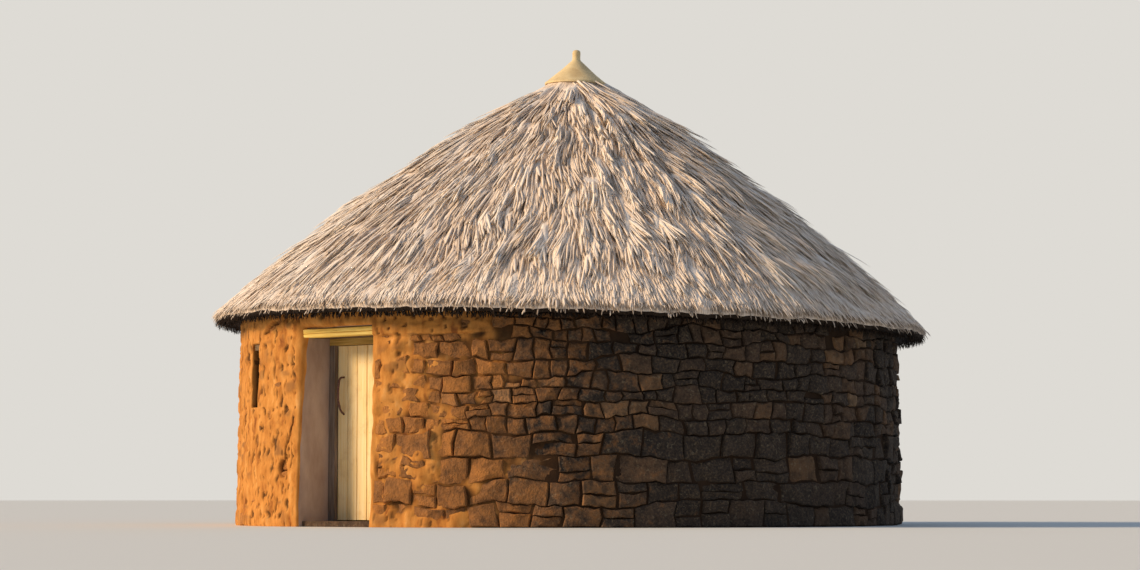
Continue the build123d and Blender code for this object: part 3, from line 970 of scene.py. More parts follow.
def slope_top(r):
    share = (r - RIM_RADIUS) / (SHOULDER_RADIUS - RIM_RADIUS)
    rise = RIM_HEIGHT - SHOULDER_HEIGHT
    return RIM_HEIGHT - rise * share + 4 * THATCH_BULGE * share * (1 - share)


def steepness(share):
    """Fall of the thatch's top per metre outwards, from 0 at the cap's rim to 1 at the shoulder."""
    bulge = 4 * THATCH_BULGE * (1 - 2 * share)
    return (RIM_HEIGHT - SHOULDER_HEIGHT - bulge) / (SHOULDER_RADIUS - RIM_RADIUS)


def slope_under(r):
    return EAVE_HEIGHT + (WALL_EAVE - r) * math.tan(ROOF_PITCH)


UNDER_CAP = [0.0, 0.15, 0.27]
EAVE_EDGE = [(3.398, 1.985), (3.418, 1.958), (3.432, 1.925), (3.434, 1.895), (3.424, 1.868),
             (3.39, 1.864), (3.32, 1.870), (3.25, 1.876), (WALL_EAVE, EAVE_HEIGHT + 0.001)]
slope_radii = np.linspace(RIM_RADIUS, SHOULDER_RADIUS - 0.02, 92)
slope_count = len(UNDER_CAP) + len(slope_radii)
outline = np.array(
    [(r, RIM_HEIGHT + 0.2 * (1 - r / RIM_RADIUS)) for r in UNDER_CAP]
    + [(r, slope_top(r)) for r in slope_radii] + EAVE_EDGE
    + [(r, slope_under(r)) for r in np.linspace(3.0, 0.0, 10)])
print("outline of", len(outline), "rings,", slope_count, "of them on the slope")

# %% [markdown]
# The coat's outer side swells into long tufts that run down the slope with narrow gaps between.
# The absolute value of smooth noise does that: it is round on its tops and sharp in its valleys.
# Near the cap a tuft would get too narrow, so bands of the slope each have their own noise.

# %% Swell the coat into tufts
COAT_COLUMNS = 560
BANDS = np.array([0.45, 0.85, 1.35, 1.95, 2.6, 3.3])
turn = np.arange(COAT_COLUMNS) * 2 * math.pi / COAT_COLUMNS
down = np.concatenate([[0], np.cumsum(np.hypot(*np.diff(outline, axis=0).T))])
normal = np.gradient(outline, axis=0)
normal = np.stack([-normal[:, 1], normal[:, 0]], axis=1)
normal /= np.linalg.norm(normal, axis=1)[:, None]
sideways = np.stack([-np.sin(turn), np.cos(turn), np.zeros(COAT_COLUMNS)], axis=1)


def tufts(radius, distance):
    """Swelling of one ring; each band keeps the tufts' width, and neighbouring bands blend."""
    band_place = np.interp(radius, BANDS, range(len(BANDS)))
    weights = np.clip(1 - np.abs(band_place - np.arange(len(BANDS))), 0, 1)
    total = np.zeros(COAT_COLUMNS)
    for number in np.nonzero(weights)[0]:
        ring = around(BANDS[number], turn, distance)
        wander = 0.05 * lumps(ring / (0.5, 0.5, 0.4), 1, 30)
        ring = ring + wander[:, None] * sideways
        broad = lumps(ring / (0.11, 0.11, 0.50), 1, number)
        narrow = lumps(ring / (0.055, 0.055, 0.26), 1, 7 + number)
        total += weights[number] * (0.086 * np.abs(broad) + 0.022 * np.abs(narrow))
    return total


coat_points, coat_tone = [], []
rim = around(SHOULDER_RADIUS, turn, 0.0)
rim_sag = 0.016 * lumps(rim, 0.30, 21) + 0.012 * lumps(rim, 0.075, 22)
for number, (r, z) in enumerate(outline):
    push = np.zeros(COAT_COLUMNS)
    if len(UNDER_CAP) <= number < slope_count + 5:
        push = tufts(r, down[number]) - 0.034 + 0.012 * lumps(around(r, turn, z), 0.55, 20)
        near_cap, near_eave = smooth_step(r, 0.31, 0.55), smooth_step(r, 2.95, 3.30)
        push = push * (0.35 + 0.65 * near_cap) * (1 - 0.55 * near_eave) - 0.016 * (1 - near_cap)
    height = z + push * normal[number][1]
    if number < slope_count + 6:
        height = height + rim_sag * np.interp(r, (3.25, 3.42), (0, 1))
    coat_points.append(around(r + push * normal[number][0], turn, height))
    # Painted shade: the tone falls round the eave's edge, past which lie the cut ends, and it is
    # lower in the gaps between tufts
    lip_shade = 0.30 * max(0, number - slope_count + 1.5)
    band = 0.22 * lumps(around(r, turn, down[number] * 5), 1.1, 40)
    on_top = number < slope_count + 3
    coat_tone.extend(np.clip(0.76 + band + push * 24 - lip_shade, 0, 1) if on_top else 0.2 + 0 * turn)
lean = np.array(LEAN)
coat_points = np.concatenate(coat_points) @ lean[:3, :3].T + lean[:3, 3]
print("tufts from", round(min(coat_tone), 2), "to", round(max(coat_tone), 2), "in tone")

# %% [markdown]
# The rings of points become quads. U is worked out from the nearest band's radius, so a straw
# keeps its width from the cap to the eave, and the seams between bands lie under the wisps.

# %% Join the coat into a mesh
faces, uv, finish = [], [], []
for row in range(len(outline) - 1):
    wide = float(BANDS[np.abs(BANDS - outline[row][0]).argmin()]) * 2 * math.pi / COAT_COLUMNS
    for column in range(COAT_COLUMNS):
        after = (column + 1) % COAT_COLUMNS
        faces.append((row * COAT_COLUMNS + column, (row + 1) * COAT_COLUMNS + column,
                      (row + 1) * COAT_COLUMNS + after, row * COAT_COLUMNS + after))
        u, v = column * wide, down[row]
        uv += [(u, v), (u, down[row + 1]), (u + wide, down[row + 1]), (u + wide, v)]
        finish.append(0 if row < slope_count + 3 else 1)
coat = make_piece("thatch_coat", coat_points, faces, [frosted_thatch, cut_straw_shaded])
coat.data.polygons.foreach_set("material_index", finish)
coat.data.uv_layers.new(name="UVMap").data.foreach_set("uv", np.array(uv).ravel())
give_values(coat, "tone", coat_tone)
edit_mesh(coat.data, merge_doubles)
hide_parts(*[f"thatch_course_{n}" for n in range(1, 5)])
print("coat faces", len(coat.data.polygons))

# %% [markdown]
# On the coat lie thousands of wisps, straws that wind and frost have lifted. Single straws would
# be far too many faces, so a wisp is a slim bundle of a few. A few kinds are shaped once, from
# long ones for the slope to short ends for the eave.

# %% Shape the wisps
WISP_SECTION = ((-1, 0), (-0.15, 1), (1, 0))
WISP_THICKEST = 0.008


def wisp(name, length, width, lift, seed):
    """A slim tapered bundle along +X, buried at its upper end, lifted and pointed at its lower."""
    rng = random.Random(seed)
    points, uv_points = [], []
    thick = min(0.28 * width, WISP_THICKEST)
    for share, wide, high in ((0.0, 0.6, -0.010), (0.35, 1.0, 0.004 + 0.5 * lift),
                              (0.8, 0.75, 0.006 + lift)):
        bend = rng.uniform(-0.10, 0.10) * width
        for a, b in WISP_SECTION:
            points.append((share * length, a * wide * width / 2 + bend, high + b * thick * wide))
            uv_points.append((a * width / 2, share * length))
    points.append((length, rng.uniform(-0.4, 0.4) * width, 0.003 + 0.7 * lift))
    uv_points.append((0, length))
    faces = ring_faces(0, 3, 3) + [(6 + k, 6 + (k + 1) % 3, 9) for k in range(3)] + [(2, 1, 0)]
    mesh = bpy.data.meshes.new(name)
    mesh.from_pydata(points, [], [face[::-1] for face in faces])
    shade_smooth(mesh)
    layer = mesh.uv_layers.new(name="UVMap")
    for loop in mesh.loops:
        layer.data[loop.index].uv = uv_points[loop.vertex_index]
    return bpy.data.objects.new(name, mesh)


def wisp_set(name, kinds):
    """A collection of wisps from (length, width, lift); it stays out of the scene."""
    collection = bpy.data.collections.new(name)
    for number, (length, width, lift) in enumerate(kinds):
        collection.objects.link(wisp(f"{name}_{number}", length, width, lift, number + 1))
    return collection


long_wisps = wisp_set("long_wisps", [
    (0.44, 0.032, 0.004), (0.54, 0.025, 0.005), (0.36, 0.036, 0.004), (0.48, 0.020, 0.006),
    (0.36, 0.016, 0.008), (0.46, 0.028, 0.004)])
short_wisps = wisp_set("short_wisps", [
    (0.25, 0.024, 0.004), (0.20, 0.018, 0.004), (0.32, 0.030, 0.004)])
lip_wisps = wisp_set("lip_wisps", [
    (0.15, 0.019, 0.003), (0.12, 0.015, 0.003), (0.18, 0.023, 0.004)])
end_wisps = wisp_set("end_wisps", [
    (0.058, 0.012, 0.002), (0.044, 0.009, 0.002), (0.070, 0.014, 0.003)])
butt_wisps = wisp_set("butt_wisps", [
    (0.046, 0.011, 0.002), (0.058, 0.014, 0.003), (0.038, 0.009, 0.002)])

# %% [markdown]
# Geometry Nodes scatter the wisps, because placing thousands by hand would be endless, and a
# number changed in one place moves them all. Each lies on the surface with its length down the
# slope, neighbours lean the same way, and the result is one mesh.

# %% The scattering tree


def new_tree(name, titles):
    """A geometry tree with named inputs for numbers, and what it is given."""
    tree = bpy.data.node_groups.new(name, "GeometryNodeTree")
    tree.interface.new_socket("Geometry", in_out="INPUT", socket_type="NodeSocketGeometry")
    for title in titles:
        kind = "NodeSocketInt" if title == "Seed" else "NodeSocketFloat"
        tree.interface.new_socket(title, in_out="INPUT", socket_type=kind)
    tree.interface.new_socket("Geometry", in_out="OUTPUT", socket_type="NodeSocketGeometry")
    return tree, add(tree, "NodeGroupInput")


def scatter_tree(name, collection, material, finish_number, droop):
    """Wisps on one finish of the coat, between two radii; droop tips them down."""
    tree, given = new_tree(name, (
        "Inner radius", "Outer radius", "Wisps a square metre", "Disorder", "Seed"))
    place = add(tree, "GeometryNodeInputPosition")[0]
    outward = add(tree, "ShaderNodeVectorMath", {0: place, 1: (1, 1, 0)}, operation="MULTIPLY")[0]
    radius = add(tree, "ShaderNodeVectorMath", {0: outward}, operation="LENGTH")["Value"]
    index = add(tree, "GeometryNodeInputMaterialIndex")[0]
    chosen = add(tree, "FunctionNodeCompare", {2: index, 3: finish_number},
                 data_type="INT", operation="EQUAL")[0]
    for title, operation in (("Inner radius", "GREATER_THAN"), ("Outer radius", "LESS_THAN")):
        within = add(tree, "FunctionNodeCompare", {0: radius, 1: given[title]},
                     operation=operation)[0]
        chosen = add(tree, "FunctionNodeBooleanMath", {0: chosen, 1: within}, operation="AND")[0]
    scatter = add(tree, "GeometryNodeDistributePointsOnFaces", {
        "Mesh": given["Geometry"], "Selection": chosen, "Density": given["Wisps a square metre"],
        "Seed": given["Seed"]})
    # The roof's own slope and a part of the lumpy surface: straws lie down, and none is buried
    flat = add(tree, "ShaderNodeVectorMath", {0: outward}, operation="NORMALIZE")[0]
    slope = add(tree, "ShaderNodeMapRange", {
        "Value": radius, "From Min": RIM_RADIUS, "From Max": SHOULDER_RADIUS,
        "To Min": steepness(0), "To Max": steepness(1)})[0]
    upright = add(tree, "ShaderNodeVectorMath", {0: flat, 1: slope, 2: (0, 0, 1)},
                  operation="MULTIPLY_ADD")[0]
    upright = add(tree, "ShaderNodeVectorMath", {0: scatter["Normal"], 1: (0.85,) * 3, 2: upright},
                  operation="MULTIPLY_ADD")[0]
    laid_flat = add(tree, "FunctionNodeAlignRotationToVector", {"Vector": upright}, axis="Z")[0]
    down_slope = add(tree, "FunctionNodeAlignRotationToVector",
                     {"Rotation": laid_flat, "Vector": flat}, axis="X", pivot_axis="Z")[0]
    # Drift turns whole tufts alike, and disorder turns each wisp by itself
    drift = add(tree, "ShaderNodeTexNoise", {"Vector": place, "Scale": 2.0, "Detail": 1.5})["Fac"]
    drift = add(tree, "ShaderNodeMath", {0: drift, 1: 1.4, 2: -0.70}, operation="MULTIPLY_ADD")[0]
    loose = add(tree, "FunctionNodeRandomValue", {2: -1.0, 3: 1.0, "Seed": 7}, data_type="FLOAT")[1]
    spin = add(tree, "ShaderNodeMath", {0: loose, 1: given["Disorder"], 2: drift},
               operation="MULTIPLY_ADD")[0]
    tip = add(tree, "FunctionNodeRandomValue", {2: droop - 0.05, 3: droop + 0.03, "Seed": 8},
              data_type="FLOAT")[1]
    twist = add(tree, "ShaderNodeCombineXYZ", {"Y": tip, "Z": spin})[0]
    twist = add(tree, "FunctionNodeEulerToRotation", {0: twist})[0]
    turned = add(tree, "FunctionNodeRotateRotation", {0: down_slope, 1: twist},
                 rotation_space="LOCAL")[0]
    size = add(tree, "FunctionNodeRandomValue", {
        0: (0.8, 0.75, 0.7), 1: (1.2, 1.25, 1.2), "Seed": 4}, data_type="FLOAT_VECTOR")[0]
    kinds = add(tree, "GeometryNodeCollectionInfo", {
        "Collection": collection, "Separate Children": True, "Reset Children": True})[0]
    choice = add(tree, "FunctionNodeRandomValue", {
        4: 0, 5: len(collection.objects) - 1, "Seed": 9}, data_type="INT")[2]
    laid = add(tree, "GeometryNodeInstanceOnPoints", {
        "Points": scatter["Points"], "Instance": kinds, "Pick Instance": True,
        "Instance Index": choice, "Rotation": turned, "Scale": size})[0]
    # The coat's own tone, with the shade painted into its gaps and lip, comes along with each
    # point, so straws in a gap stay dark
    beneath = add(tree, "GeometryNodeInputNamedAttribute", {"Name": "tone"}, data_type="FLOAT")[0]
    vary = add(tree, "FunctionNodeRandomValue", {2: -0.20, 3: 0.18, "Seed": 2},
               data_type="FLOAT")[1]
    tone = add(tree, "ShaderNodeMath", {0: beneath, 1: vary}, operation="ADD", use_clamp=True)[0]
    shift = add(tree, "FunctionNodeRandomValue", {2: 1.0, 3: 9.0, "Seed": 6}, data_type="FLOAT")[1]
    for title, number in (("tone", tone), ("shift", shift)):
        laid = add(tree, "GeometryNodeStoreNamedAttribute", {
            "Geometry": laid, "Name": title, "Value": number},
            data_type="FLOAT", domain="INSTANCE")[0]
    real = add(tree, "GeometryNodeRealizeInstances", {"Geometry": laid})[0]
    painted = add(tree, "GeometryNodeSetMaterial", {"Geometry": real, "Material": material})[0]
    add(tree, "NodeGroupOutput", {0: painted})
    return tree


print("slope under the wisps from", round(steepness(0), 3), "to", round(steepness(1), 3))

# %% [markdown]
# A tree's result has to become a plain mesh, because other programs don't know the tree. So its
# inputs are set, it runs once, its result is kept as the piece's own mesh and the tree is let go.
# The upper and the lower slope are two pieces, which keeps each mesh a size that other programs
# can handle. Shorter straws finish the eave, and cut ends, darkened with painted shade, fill its
# underside.

# %% Lay the wisps


def triangles(mesh):
    return sum(len(face.vertices) - 2 for face in mesh.polygons)


def finished_mesh(piece):
    """The mesh that a piece's modifiers or curve come to."""
    return bpy.data.meshes.new_from_object(
        piece.evaluated_get(bpy.context.evaluated_depsgraph_get()))


def run_tree(piece, tree, given):
    """Set a tree's named inputs on a piece, run it and keep the result as the piece's own mesh."""
    modifier = piece.modifiers.new(piece.name, "NODES")
    modifier.node_group = tree
    for item in tree.interface.items_tree:
        if item.in_out == "INPUT" and item.name in given:
            modifier[item.identifier] = given[item.name]
    mesh = finished_mesh(piece)
    piece.modifiers.clear()
    piece.data = mesh
    mesh.name = piece.name
    print(piece.name, "triangles", triangles(mesh))


def grow(name, tree, inner, outer, density, seed, disorder=0.08):
    """Lay wisps on the coat between two radii, as a piece of their own; disorder is in radians."""
    piece = bpy.data.objects.new(name, coat.data)
    bpy.context.scene.collection.objects.link(piece)
    run_tree(piece, tree, {
        "Inner radius": inner, "Outer radius": outer, "Wisps a square metre": density, "Seed": seed,
        "Disorder": disorder})
    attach(piece, "hut")


long_tree = scatter_tree("lay_long_wisps", long_wisps, frosted_thatch, 0, 0.0)
grow("wisps_upper_slope", long_tree, 0.26, 2.05, 500.0, 3)
grow("wisps_lower_slope", long_tree, 2.05, 2.90, 500.0, 4)
short_tree = scatter_tree("lay_short_wisps", short_wisps, frosted_thatch, 0, 0.02)
grow("wisps_above_eave", short_tree, 2.75, 3.20, 520.0, 5)
lip_tree = scatter_tree("lay_lip_wisps", lip_wisps, frosted_thatch, 0, 0.06)
grow("wisps_on_eave", lip_tree, 3.15, 3.35, 860.0, 7)
ends_tree = scatter_tree("lay_frosted_ends", end_wisps, frosted_thatch, 0, 0.14)
grow("eave_frosted_ends", ends_tree, 3.34, 3.43, 1000.0, 8, 0.4)
butt_tree = scatter_tree("lay_butt_ends", butt_wisps, cut_straw_shaded, 1, 0.30)
grow("eave_cut_ends", butt_tree, 3.30, 3.43, 900.0, 6, 0.5)

# %% [markdown]
# The timber is of two kinds. The poles and laths are barked gum, round and grown, so their grain
# runs along them. The lintels, the frame and the boards are sawn. One function makes both from a
# direction of grain and a few colours. Real growth rings lie 2 to 4 mm apart; the streaks are
# drawn at 17 mm, and at 34 mm on the poles under the roof, so that they show.

# %% Timber finishes


def wood_material(name, direction, stops, width=17, roughness=0.75, worn=None):
    """Streaks of a width in millimetres run along a direction; stops are the ramp's colours."""
    material, tree = new_material(name, roughness)
    place = add(tree, "ShaderNodeTexCoord")["Object"]
    along = "XYZ".index(direction)
    streak, fibre = [width] * 3, [width / 4] * 3
    streak[along], fibre[along] = 400, 125
    streaks = grain(tree, place, streak, 4)
    fibres = grain(tree, place, fibre, 2)
    colour = add(tree, "ShaderNodeValToRGB", {0: streaks}, stops=stops)[0]
    films = []
    if worn:
        patches = grain(tree, place, 140, 5)
        films.append((patches, ((0.55, "000000"), (0.68, "a0a0a0")), worn))
    lay_over(tree, colour, films, [(streaks, 0.003), (fibres, 0.001)])
    return material


def dress(material, *names):
    """Give CAD nodes a finish; their shape stays as it is."""
    for name in names:
        nodes[name].data.materials.clear()
        nodes[name].data.materials.append(material)
    print(material.name, "on", *names)


board_paint = wood_material(
    "pine_boards_limewashed", "Z", ((0.3, "ecc884"), (0.42, "fadb98"), (0.7, "ffe9b6")),
    roughness=0.7, worn="e0b878")
lintel_wood = wood_material(
    "sawn_lintel_weathered", "X", ((0.3, "bd943c"), (0.42, "f2ca5f"), (0.7, "ffe283")),
    roughness=0.7)
# The door frame's posts and head are one timber: the posts are painted dark, as in shade, and the
# head bright, as in light.
frame_wood_shaded = wood_material(
    "sawn_frame_weathered", "Z", ((0.3, "4e4338"), (0.5, "76685a"), (0.7, "93857a")),
    roughness=0.8)
head_wood_lit = wood_material(
    "sawn_head_weathered", "X", ((0.3, "94742f"), (0.5, "c19a4c"), (0.7, "dcb868")))
inner_lintel_wood = wood_material("sawn_lintel_inner", "X", ((0.3, "4a3a28"), (0.6, "7d6546")))
pole_wood = wood_material(
    "gum_pole_barked", "Z", ((0.3, "3c2e22"), (0.5, "5b4632"), (0.7, "7a6148")), width=34)
dress(inner_lintel_wood, "inner_door_lintels", "window_lintels")
dress(frame_wood_shaded, "door_post_left", "door_post_right")
dress(head_wood_lit, "door_frame_head")
dress(pole_wood, "long_rafters", "short_rafters", "crown_block", "roof_laths")
dress(board_paint, "door_ledges", "door_braces")
dress(threshold_slab, "threshold_stone")

# %% [markdown]
# The hinges and the pull were forged at a small fire and never painted. Rust has dulled them, so
# they are hardly metallic, and blotches of three browns with a pocked skin tell the eye that they
# are iron. The cap is lime mortar, pale as dry sand, floated with a trowel: faint clouds and a fine
# grit keep it from looking like paper. The blotches and the grit are drawn coarser than real ones.

# %% Iron and lime mortar


def iron_material():
    material, tree = new_material("forged_iron_rusted", 0.7, 0.5)
    tree.nodes["Principled BSDF"].inputs["Metallic"].default_value = 0.4
    place = add(tree, "ShaderNodeTexCoord")["Object"]
    rust = grain(tree, place, 17, 6)
    colour = add(tree, "ShaderNodeValToRGB", {0: rust}, stops=(
        (0.35, "4a3a38"), (0.55, "6e5048"), (0.7, "8a6250")))[0]
    lay_over(tree, colour, [], [(rust, 0.001)])
    return material


def cap_material():
    material, tree = new_material("lime_mortar_trowelled", 0.6)
    place = add(tree, "ShaderNodeTexCoord")["Object"]
    clouds = grain(tree, place, 125, 4)
    grit = grain(tree, place, 8, 2)
    colour = add(tree, "ShaderNodeValToRGB", {0: clouds}, stops=(
        (0.3, "ccb17e"), (0.7, "ebd5a0")))[0]
    lay_over(tree, colour, [], [(clouds, 0.006), (grit, 0.0008)])
    return material


iron = iron_material()
cap_mortar = cap_material()
dress(iron, "door_hinge_straps", "door_hinge_pins", "door_handle")

# %% [markdown]
# The cap is a cone of mortar that seals the top of the thatch, with a knob to finish it. It was
# shaped by hand round the crown, so it is turned from an outline like a pot on a wheel and then
# gets the slight flats and swellings that a trowel leaves. Its hard rim stands proud of the straw.

# %% Turn the cap
CAP_SIDES, CAP_WOBBLE = 72, 0.035
FLANK_FOOT, FLANK_HEAD, FLANK_HOLLOW = (0.298, 4.3305), (0.045, 4.552), 0.003
CAP_RIM = [(0, 0.208), (0.15, 0.105), (0.300, 0.002), (0.3045, 0.004), (0.3045, 0.020)]
CAP_KNOB = [(0.040, 4.562), (0.0385, 4.590), (0.040, 4.622), (0.038, 4.640), (0.030, 4.651),
            (0.016, 4.6575), (0, 4.6590)]


def turned(outline, count, wobble):
    """Points and faces of a (radius, height) outline turned about Z; its ends are on the axis."""
    points = [(0, 0, outline[0][1])]
    for r, z in outline[1:-1]:
        for k in range(count):
            a = 2 * math.pi * k / count
            reach = r * (1 + wobble * noise.noise((math.cos(a) * 1.6, math.sin(a) * 1.6, z * 9)))
            points.append((reach * math.cos(a), reach * math.sin(a), z))
    points.append((0, 0, outline[-1][1]))
    last = len(points) - 1
    faces = [(0, 1 + (k + 1) % count, 1 + k) for k in range(count)]
    faces += ring_faces(1, count, len(outline) - 2)
    faces += [(last - count + k, last - count + (k + 1) % count, last) for k in range(count)]
    return points, faces


cap_outline = [(r, RIM_HEIGHT + rise) for r, rise in CAP_RIM]
for share in np.linspace(0, 1, 14):
    sag = 4 * FLANK_HOLLOW * share * (1 - share)
    cap_outline.append((FLANK_FOOT[0] + (FLANK_HEAD[0] - FLANK_FOOT[0]) * share - sag,
                        FLANK_FOOT[1] + (FLANK_HEAD[1] - FLANK_FOOT[1]) * share - sag))
points, faces = turned(cap_outline + CAP_KNOB, CAP_SIDES, CAP_WOBBLE)
cap = make_piece("mortar_cap", [LEAN @ Vector(p) for p in points], faces, [cap_mortar])
cap.data.set_sharp_from_angle(angle=math.radians(50))
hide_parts("apex_cap")
print("cap faces", len(faces))

# %% [markdown]
# Sawn timber is never quite straight or square. One function draws a bar from the outline of its
# section, moves it a little along the way, and closes its ends. It makes the boards of the door
# and the lintel over the doorway.

# %% Draw a bar


def eased(low_a, high_a, low_b, high_b, ease):
    """A rectangle's outline with its corners eased."""
    return [(low_a + ease, low_b), (high_a - ease, low_b), (high_a, low_b + ease),
            (high_a, high_b - ease), (high_a - ease, high_b), (low_a + ease, high_b),
            (low_a, high_b - ease), (low_a, low_b + ease)]


def bar(outline, stations, place, drift, seed):
    """Sections at stations along a bar; place(a, b, t) gives a point, which drift moves inwards."""
    centre = middle(outline)
    points, count = [], len(outline)
    for t in stations:
        for number, (a, b) in enumerate(outline):
            pull = 0.5 + 0.5 * noise.noise((t * 2.3, seed * 3.1 + number * 0.45, seed))
            points.append(place(a - math.copysign(drift * pull, a - centre[0]),
                                b - math.copysign(drift * pull, b - centre[1]), t))
    ends = [tuple(reversed(range(count))), tuple(range(len(points) - count, len(points)))]
    return points, ring_faces(0, count, len(stations)) + ends


def join_bars(name, bars, material, body, sharp=30):
    """Many bars in one piece, with their normals turned outwards."""
    points, faces = [], []
    for bar_points, bar_faces in bars:
        faces += [tuple(len(points) + n for n in face) for face in bar_faces]
        points += bar_points
    piece = make_piece(name, points, faces, [material], body)
    edit_mesh(piece.data, lambda bm: bmesh.ops.recalc_face_normals(bm, faces=bm.faces))
    piece.data.set_sharp_from_angle(angle=math.radians(sharp))
    return piece


print("an eased section has", len(eased(0, 1, 0, 1, 0.1)), "corners")

# %% [markdown]
# The door is six upright boards with a narrow gap between, sawn to slightly different lengths at
# the foot. The lintel lies across the doorway, and its front has a drying crack from end to end,
# which is three more corners in its section.

# %% The door's boards and the lintel
BOARD_COUNT, BOARD_GAP, BOARD_EASE, BOARD_DRIFT = 6, 0.004, 0.004, 0.0025
CRACK_HALF, CRACK_DEEP, CRACK_SHARE = 0.006, 0.014, 0.44
leaf_low, leaf_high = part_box("door_leaf")
board_width = (leaf_high[0] - leaf_low[0]) / BOARD_COUNT
boards = []
for number in range(BOARD_COUNT):
    left = leaf_low[0] + number * board_width
    edge = eased(left + BOARD_GAP / 2 * (number > 0),
                 left + board_width - BOARD_GAP / 2 * (number < BOARD_COUNT - 1),
                 leaf_low[1], leaf_high[1], BOARD_EASE)
    bottom = leaf_low[2] + 0.006 * abs(noise.noise((number * 1.7, 4.0, 2.0)))
    boards.append(bar(edge, np.linspace(bottom, leaf_high[2], 28), lambda a, b, t: (a, b, t),
                      BOARD_DRIFT, number + 1))
leaf = join_bars("door_boards", boards, board_paint, "door")
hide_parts("door_leaf")

lintel_low, lintel_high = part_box("outer_door_lintel")
front, back = lintel_low[1], lintel_high[1]
split = lintel_low[2] + CRACK_SHARE * (lintel_high[2] - lintel_low[2])
lintel_edge = eased(front, back, lintel_low[2], lintel_high[2], 0.007)
lintel_edge[7:7] = [
    (front, split + CRACK_HALF), (front + CRACK_DEEP, split), (front, split - CRACK_HALF)]
lintel_bar = bar(lintel_edge, np.linspace(lintel_low[0], lintel_high[0], 40),
                 lambda a, b, t: (t, a, b), 0.004, 9)
lintel = join_bars("doorway_lintel", [lintel_bar], lintel_wood, "hut", 35)
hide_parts("outer_door_lintel")
print("board", round(board_width, 4), "lintel", [round(v, 3) for v in lintel_low])

# %% [markdown]
# The pull is a forged bar, bowed by hand and thickest where the fingers go. It is a smooth curve
# with a round section, drawn along the CAD bar's own line between the same two ends.

# %% Forge the pull
PULL_RADIUS, PULL_BEDDED = 0.011, 0.002
PULL_POINTS = ((0.0, 1.0, 0.8), (0.55, 1.0, 0.8), (0.85, 0.92, 0.95), (1.0, 0.62, 1.0),
               (1.0, 0.38, 1.0), (0.72, 0.16, 0.95), (0.35, 0.04, 0.8), (0.0, 0.0, 0.8))
pull_low, pull_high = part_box("door_handle")
pull_x, pull_face = (pull_low[0] + pull_high[0]) / 2, leaf_low[1]
pull_reach = pull_face - pull_low[1] - PULL_RADIUS
pull_height = pull_high[2] - pull_low[2] - 2 * PULL_RADIUS
pull_line = bpy.data.curves.new("door_pull", "CURVE")
pull_line.dimensions, pull_line.bevel_depth, pull_line.bevel_resolution = "3D", PULL_RADIUS, 3
pull_line.use_fill_caps, pull_line.resolution_u = True, 8
spline = pull_line.splines.new("NURBS")
spline.points.add(len(PULL_POINTS) - 1)
for point, (out, up, thick) in zip(spline.points, PULL_POINTS):
    point.co = (pull_x, pull_face + PULL_BEDDED - out * pull_reach,
                pull_low[2] + PULL_RADIUS + up * pull_height, 1)
    point.radius = thick
spline.order_u, spline.use_endpoint_u = 3, True
pull_curve = bpy.data.objects.new("pull_line", pull_line)
bpy.context.scene.collection.objects.link(pull_curve)
pull = bpy.data.objects.new("door_pull", finished_mesh(pull_curve))
bpy.data.objects.remove(pull_curve)
bpy.context.scene.collection.objects.link(pull)
pull.data.materials.clear()
pull.data.materials.append(iron)
shade_smooth(pull.data)
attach(pull, "door")
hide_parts("door_handle")
print("pull", [round(v, 4) for v in pull_low], [round(v, 4) for v in pull_high],
      "faces", len(pull.data.polygons))

# %% [markdown]
# Clenched nails hold the boards to the ledges behind them: two a board at each ledge. They repeat,
# so one nail head is placed on a grid of points by Geometry Nodes. The limewash went over them.

# %% Nail the boards
LEDGES = (0.218, 0.8535, 1.489)
NAIL_SHARES = (0.27, 0.73)
NAIL_RADIUS = 0.0050
spots = [(leaf_low[0] + board_width * (number + share), leaf_low[1], level)
         for number in range(BOARD_COUNT) for share in NAIL_SHARES for level in LEDGES]
spot_mesh = bpy.data.meshes.new("nail_spots")
spot_mesh.from_pydata(spots, [], [])
spot_piece = bpy.data.objects.new("door_nails", spot_mesh)
bpy.context.scene.collection.objects.link(spot_piece)


def nail_tree():
    """A domed head at every point, no two alike."""
    tree, given = new_tree("drive_nails", ("Head radius",))
    head = add(tree, "GeometryNodeMeshIcoSphere", {
        "Radius": given["Head radius"], "Subdivisions": 2})
    uneven = add(tree, "FunctionNodeRandomValue", {
        0: (0.8, 0.35, 0.8), 1: (1.2, 0.5, 1.2), "Seed": 5}, data_type="FLOAT_VECTOR")[0]
    driven = add(tree, "GeometryNodeInstanceOnPoints", {
        "Points": given["Geometry"], "Instance": head["Mesh"], "Scale": uneven})[0]
    real = add(tree, "GeometryNodeRealizeInstances", {"Geometry": driven})[0]
    smooth = add(tree, "GeometryNodeSetShadeSmooth", {"Geometry": real})[0]
    painted = add(tree, "GeometryNodeSetMaterial", {"Geometry": smooth, "Material": board_paint})[0]
    add(tree, "NodeGroupOutput", {0: painted})
    return tree


run_tree(spot_piece, nail_tree(), {"Head radius": NAIL_RADIUS})
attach(spot_piece, "door")

# %% [markdown]
# The studio is a pale floor under an even, slightly cool sky, and one broad warm lamp low on the
# left, where the sun of the picture stands. A sun lamp with a wide angle lights the floor evenly
# and still gives soft shadows. The sky's pale colour is for the camera and for gloss only.

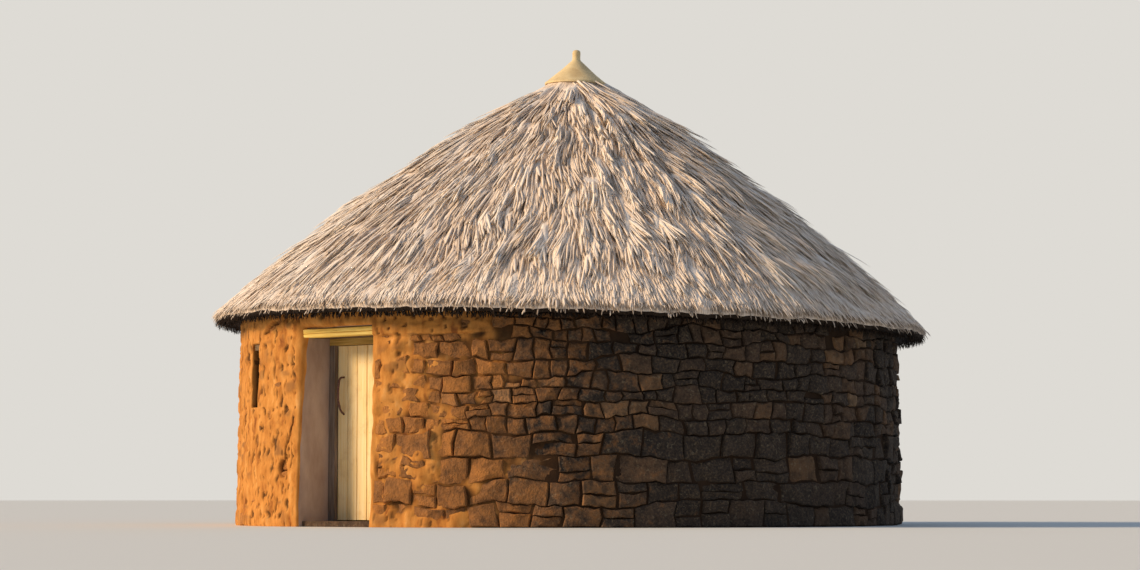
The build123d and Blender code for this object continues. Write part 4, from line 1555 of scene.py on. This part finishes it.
# %% Floor and sky
FLOOR_HALF, FLOOR_LEVEL = 400, -0.001
matt_floor, tree = new_material("studio_floor_matt", 0.95, 0.1)
tree.nodes["Principled BSDF"].inputs["Base Color"].default_value = paint("e6e9e2")
corners = [(x * FLOOR_HALF, y * FLOOR_HALF, FLOOR_LEVEL)
           for x, y in ((-1, -1), (1, -1), (1, 1), (-1, 1))]
floor = make_piece("floor", corners, [(0, 1, 2, 3)], [matt_floor])
floor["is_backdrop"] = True
world = bpy.data.worlds.new("studio")
bpy.context.scene.world = world
world.use_nodes = True
tree = world.node_tree
tree.nodes.clear()
ray = add(tree, "ShaderNodeLightPath")
sky = add(tree, "ShaderNodeBackground", {"Color": paint("c2d5f6"), "Strength": 0.41})[0]
backdrop = add(tree, "ShaderNodeBackground", {"Color": paint("dedbd5"), "Strength": 1.0})[0]
clear = ray["Is Camera Ray"]
for kind in ("Is Glossy Ray", "Is Transmission Ray"):
    clear = add(tree, "ShaderNodeMath", {0: clear, 1: ray[kind]}, operation="MAXIMUM")[0]
mix = add(tree, "ShaderNodeMixShader", {0: clear, 1: sky, 2: backdrop})[0]
add(tree, "ShaderNodeOutputWorld", {"Surface": mix})
print("floor at", FLOOR_LEVEL)

# %% [markdown]
# A lamp shines and a camera looks along its own -Z, so one function turns either by a direction.
# The camera stands low and far away with a long lens, as for the picture, which keeps the wall
# upright and the eave's curve flat.

# %% Lamp and camera
KEY_AZIMUTH, KEY_ELEVATION, KEY_SPREAD = math.radians(-129), math.radians(24), math.radians(16)
KEY_POWER, KEY_COLOUR = 3.9, "ffe1be"
VIEW_AZIMUTH, VIEW_DISTANCE, VIEW_HEIGHT, LOOK_AT, LENS = math.radians(-48), 30, 0.25, 2.34, 97


def aim(name, data, place, toward, axis):
    """Put a lamp or camera in its place, with one of its axes along a direction."""
    thing = bpy.data.objects.new(name, data)
    thing.location = place
    thing.rotation_mode = "QUATERNION"
    thing.rotation_quaternion = toward.to_track_quat(axis, "Y")
    bpy.context.scene.collection.objects.link(thing)
    return thing


key_light = bpy.data.lights.new("key", "SUN")
key_light.energy, key_light.angle, key_light.color = KEY_POWER, KEY_SPREAD, paint(KEY_COLOUR)[:3]
toward_key = Vector((math.cos(KEY_AZIMUTH) * math.cos(KEY_ELEVATION),
                     math.sin(KEY_AZIMUTH) * math.cos(KEY_ELEVATION), math.sin(KEY_ELEVATION)))
aim("key", key_light, toward_key * 20, toward_key, "Z")

camera_data = bpy.data.cameras.new("camera")
camera_data.sensor_width, camera_data.lens, camera_data.clip_end = 36, LENS, 900
eye = Vector((math.cos(VIEW_AZIMUTH) * VIEW_DISTANCE, math.sin(VIEW_AZIMUTH) * VIEW_DISTANCE,
              VIEW_HEIGHT))
bpy.context.scene.camera = aim("camera", camera_data, eye, Vector((0, 0, LOOK_AT)) - eye, "-Z")
bpy.context.scene.view_settings.view_transform = "Standard"
print("camera at", [round(v, 2) for v in eye])

# %% [markdown]
# Last come the counts: how many triangles each piece has, and how far the finished hut reaches
# beside the CAD model.

# %% Count the triangles and measure the hut
added = {piece.name: triangles(piece.data)
         for piece in bpy.context.scene.objects if piece.type == "MESH" and piece.name not in nodes}
print("triangles", added, "in all", sum(added.values()))
low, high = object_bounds()
print("visual box", [round(v, 3) for v in low], [round(v, 3) for v in high])
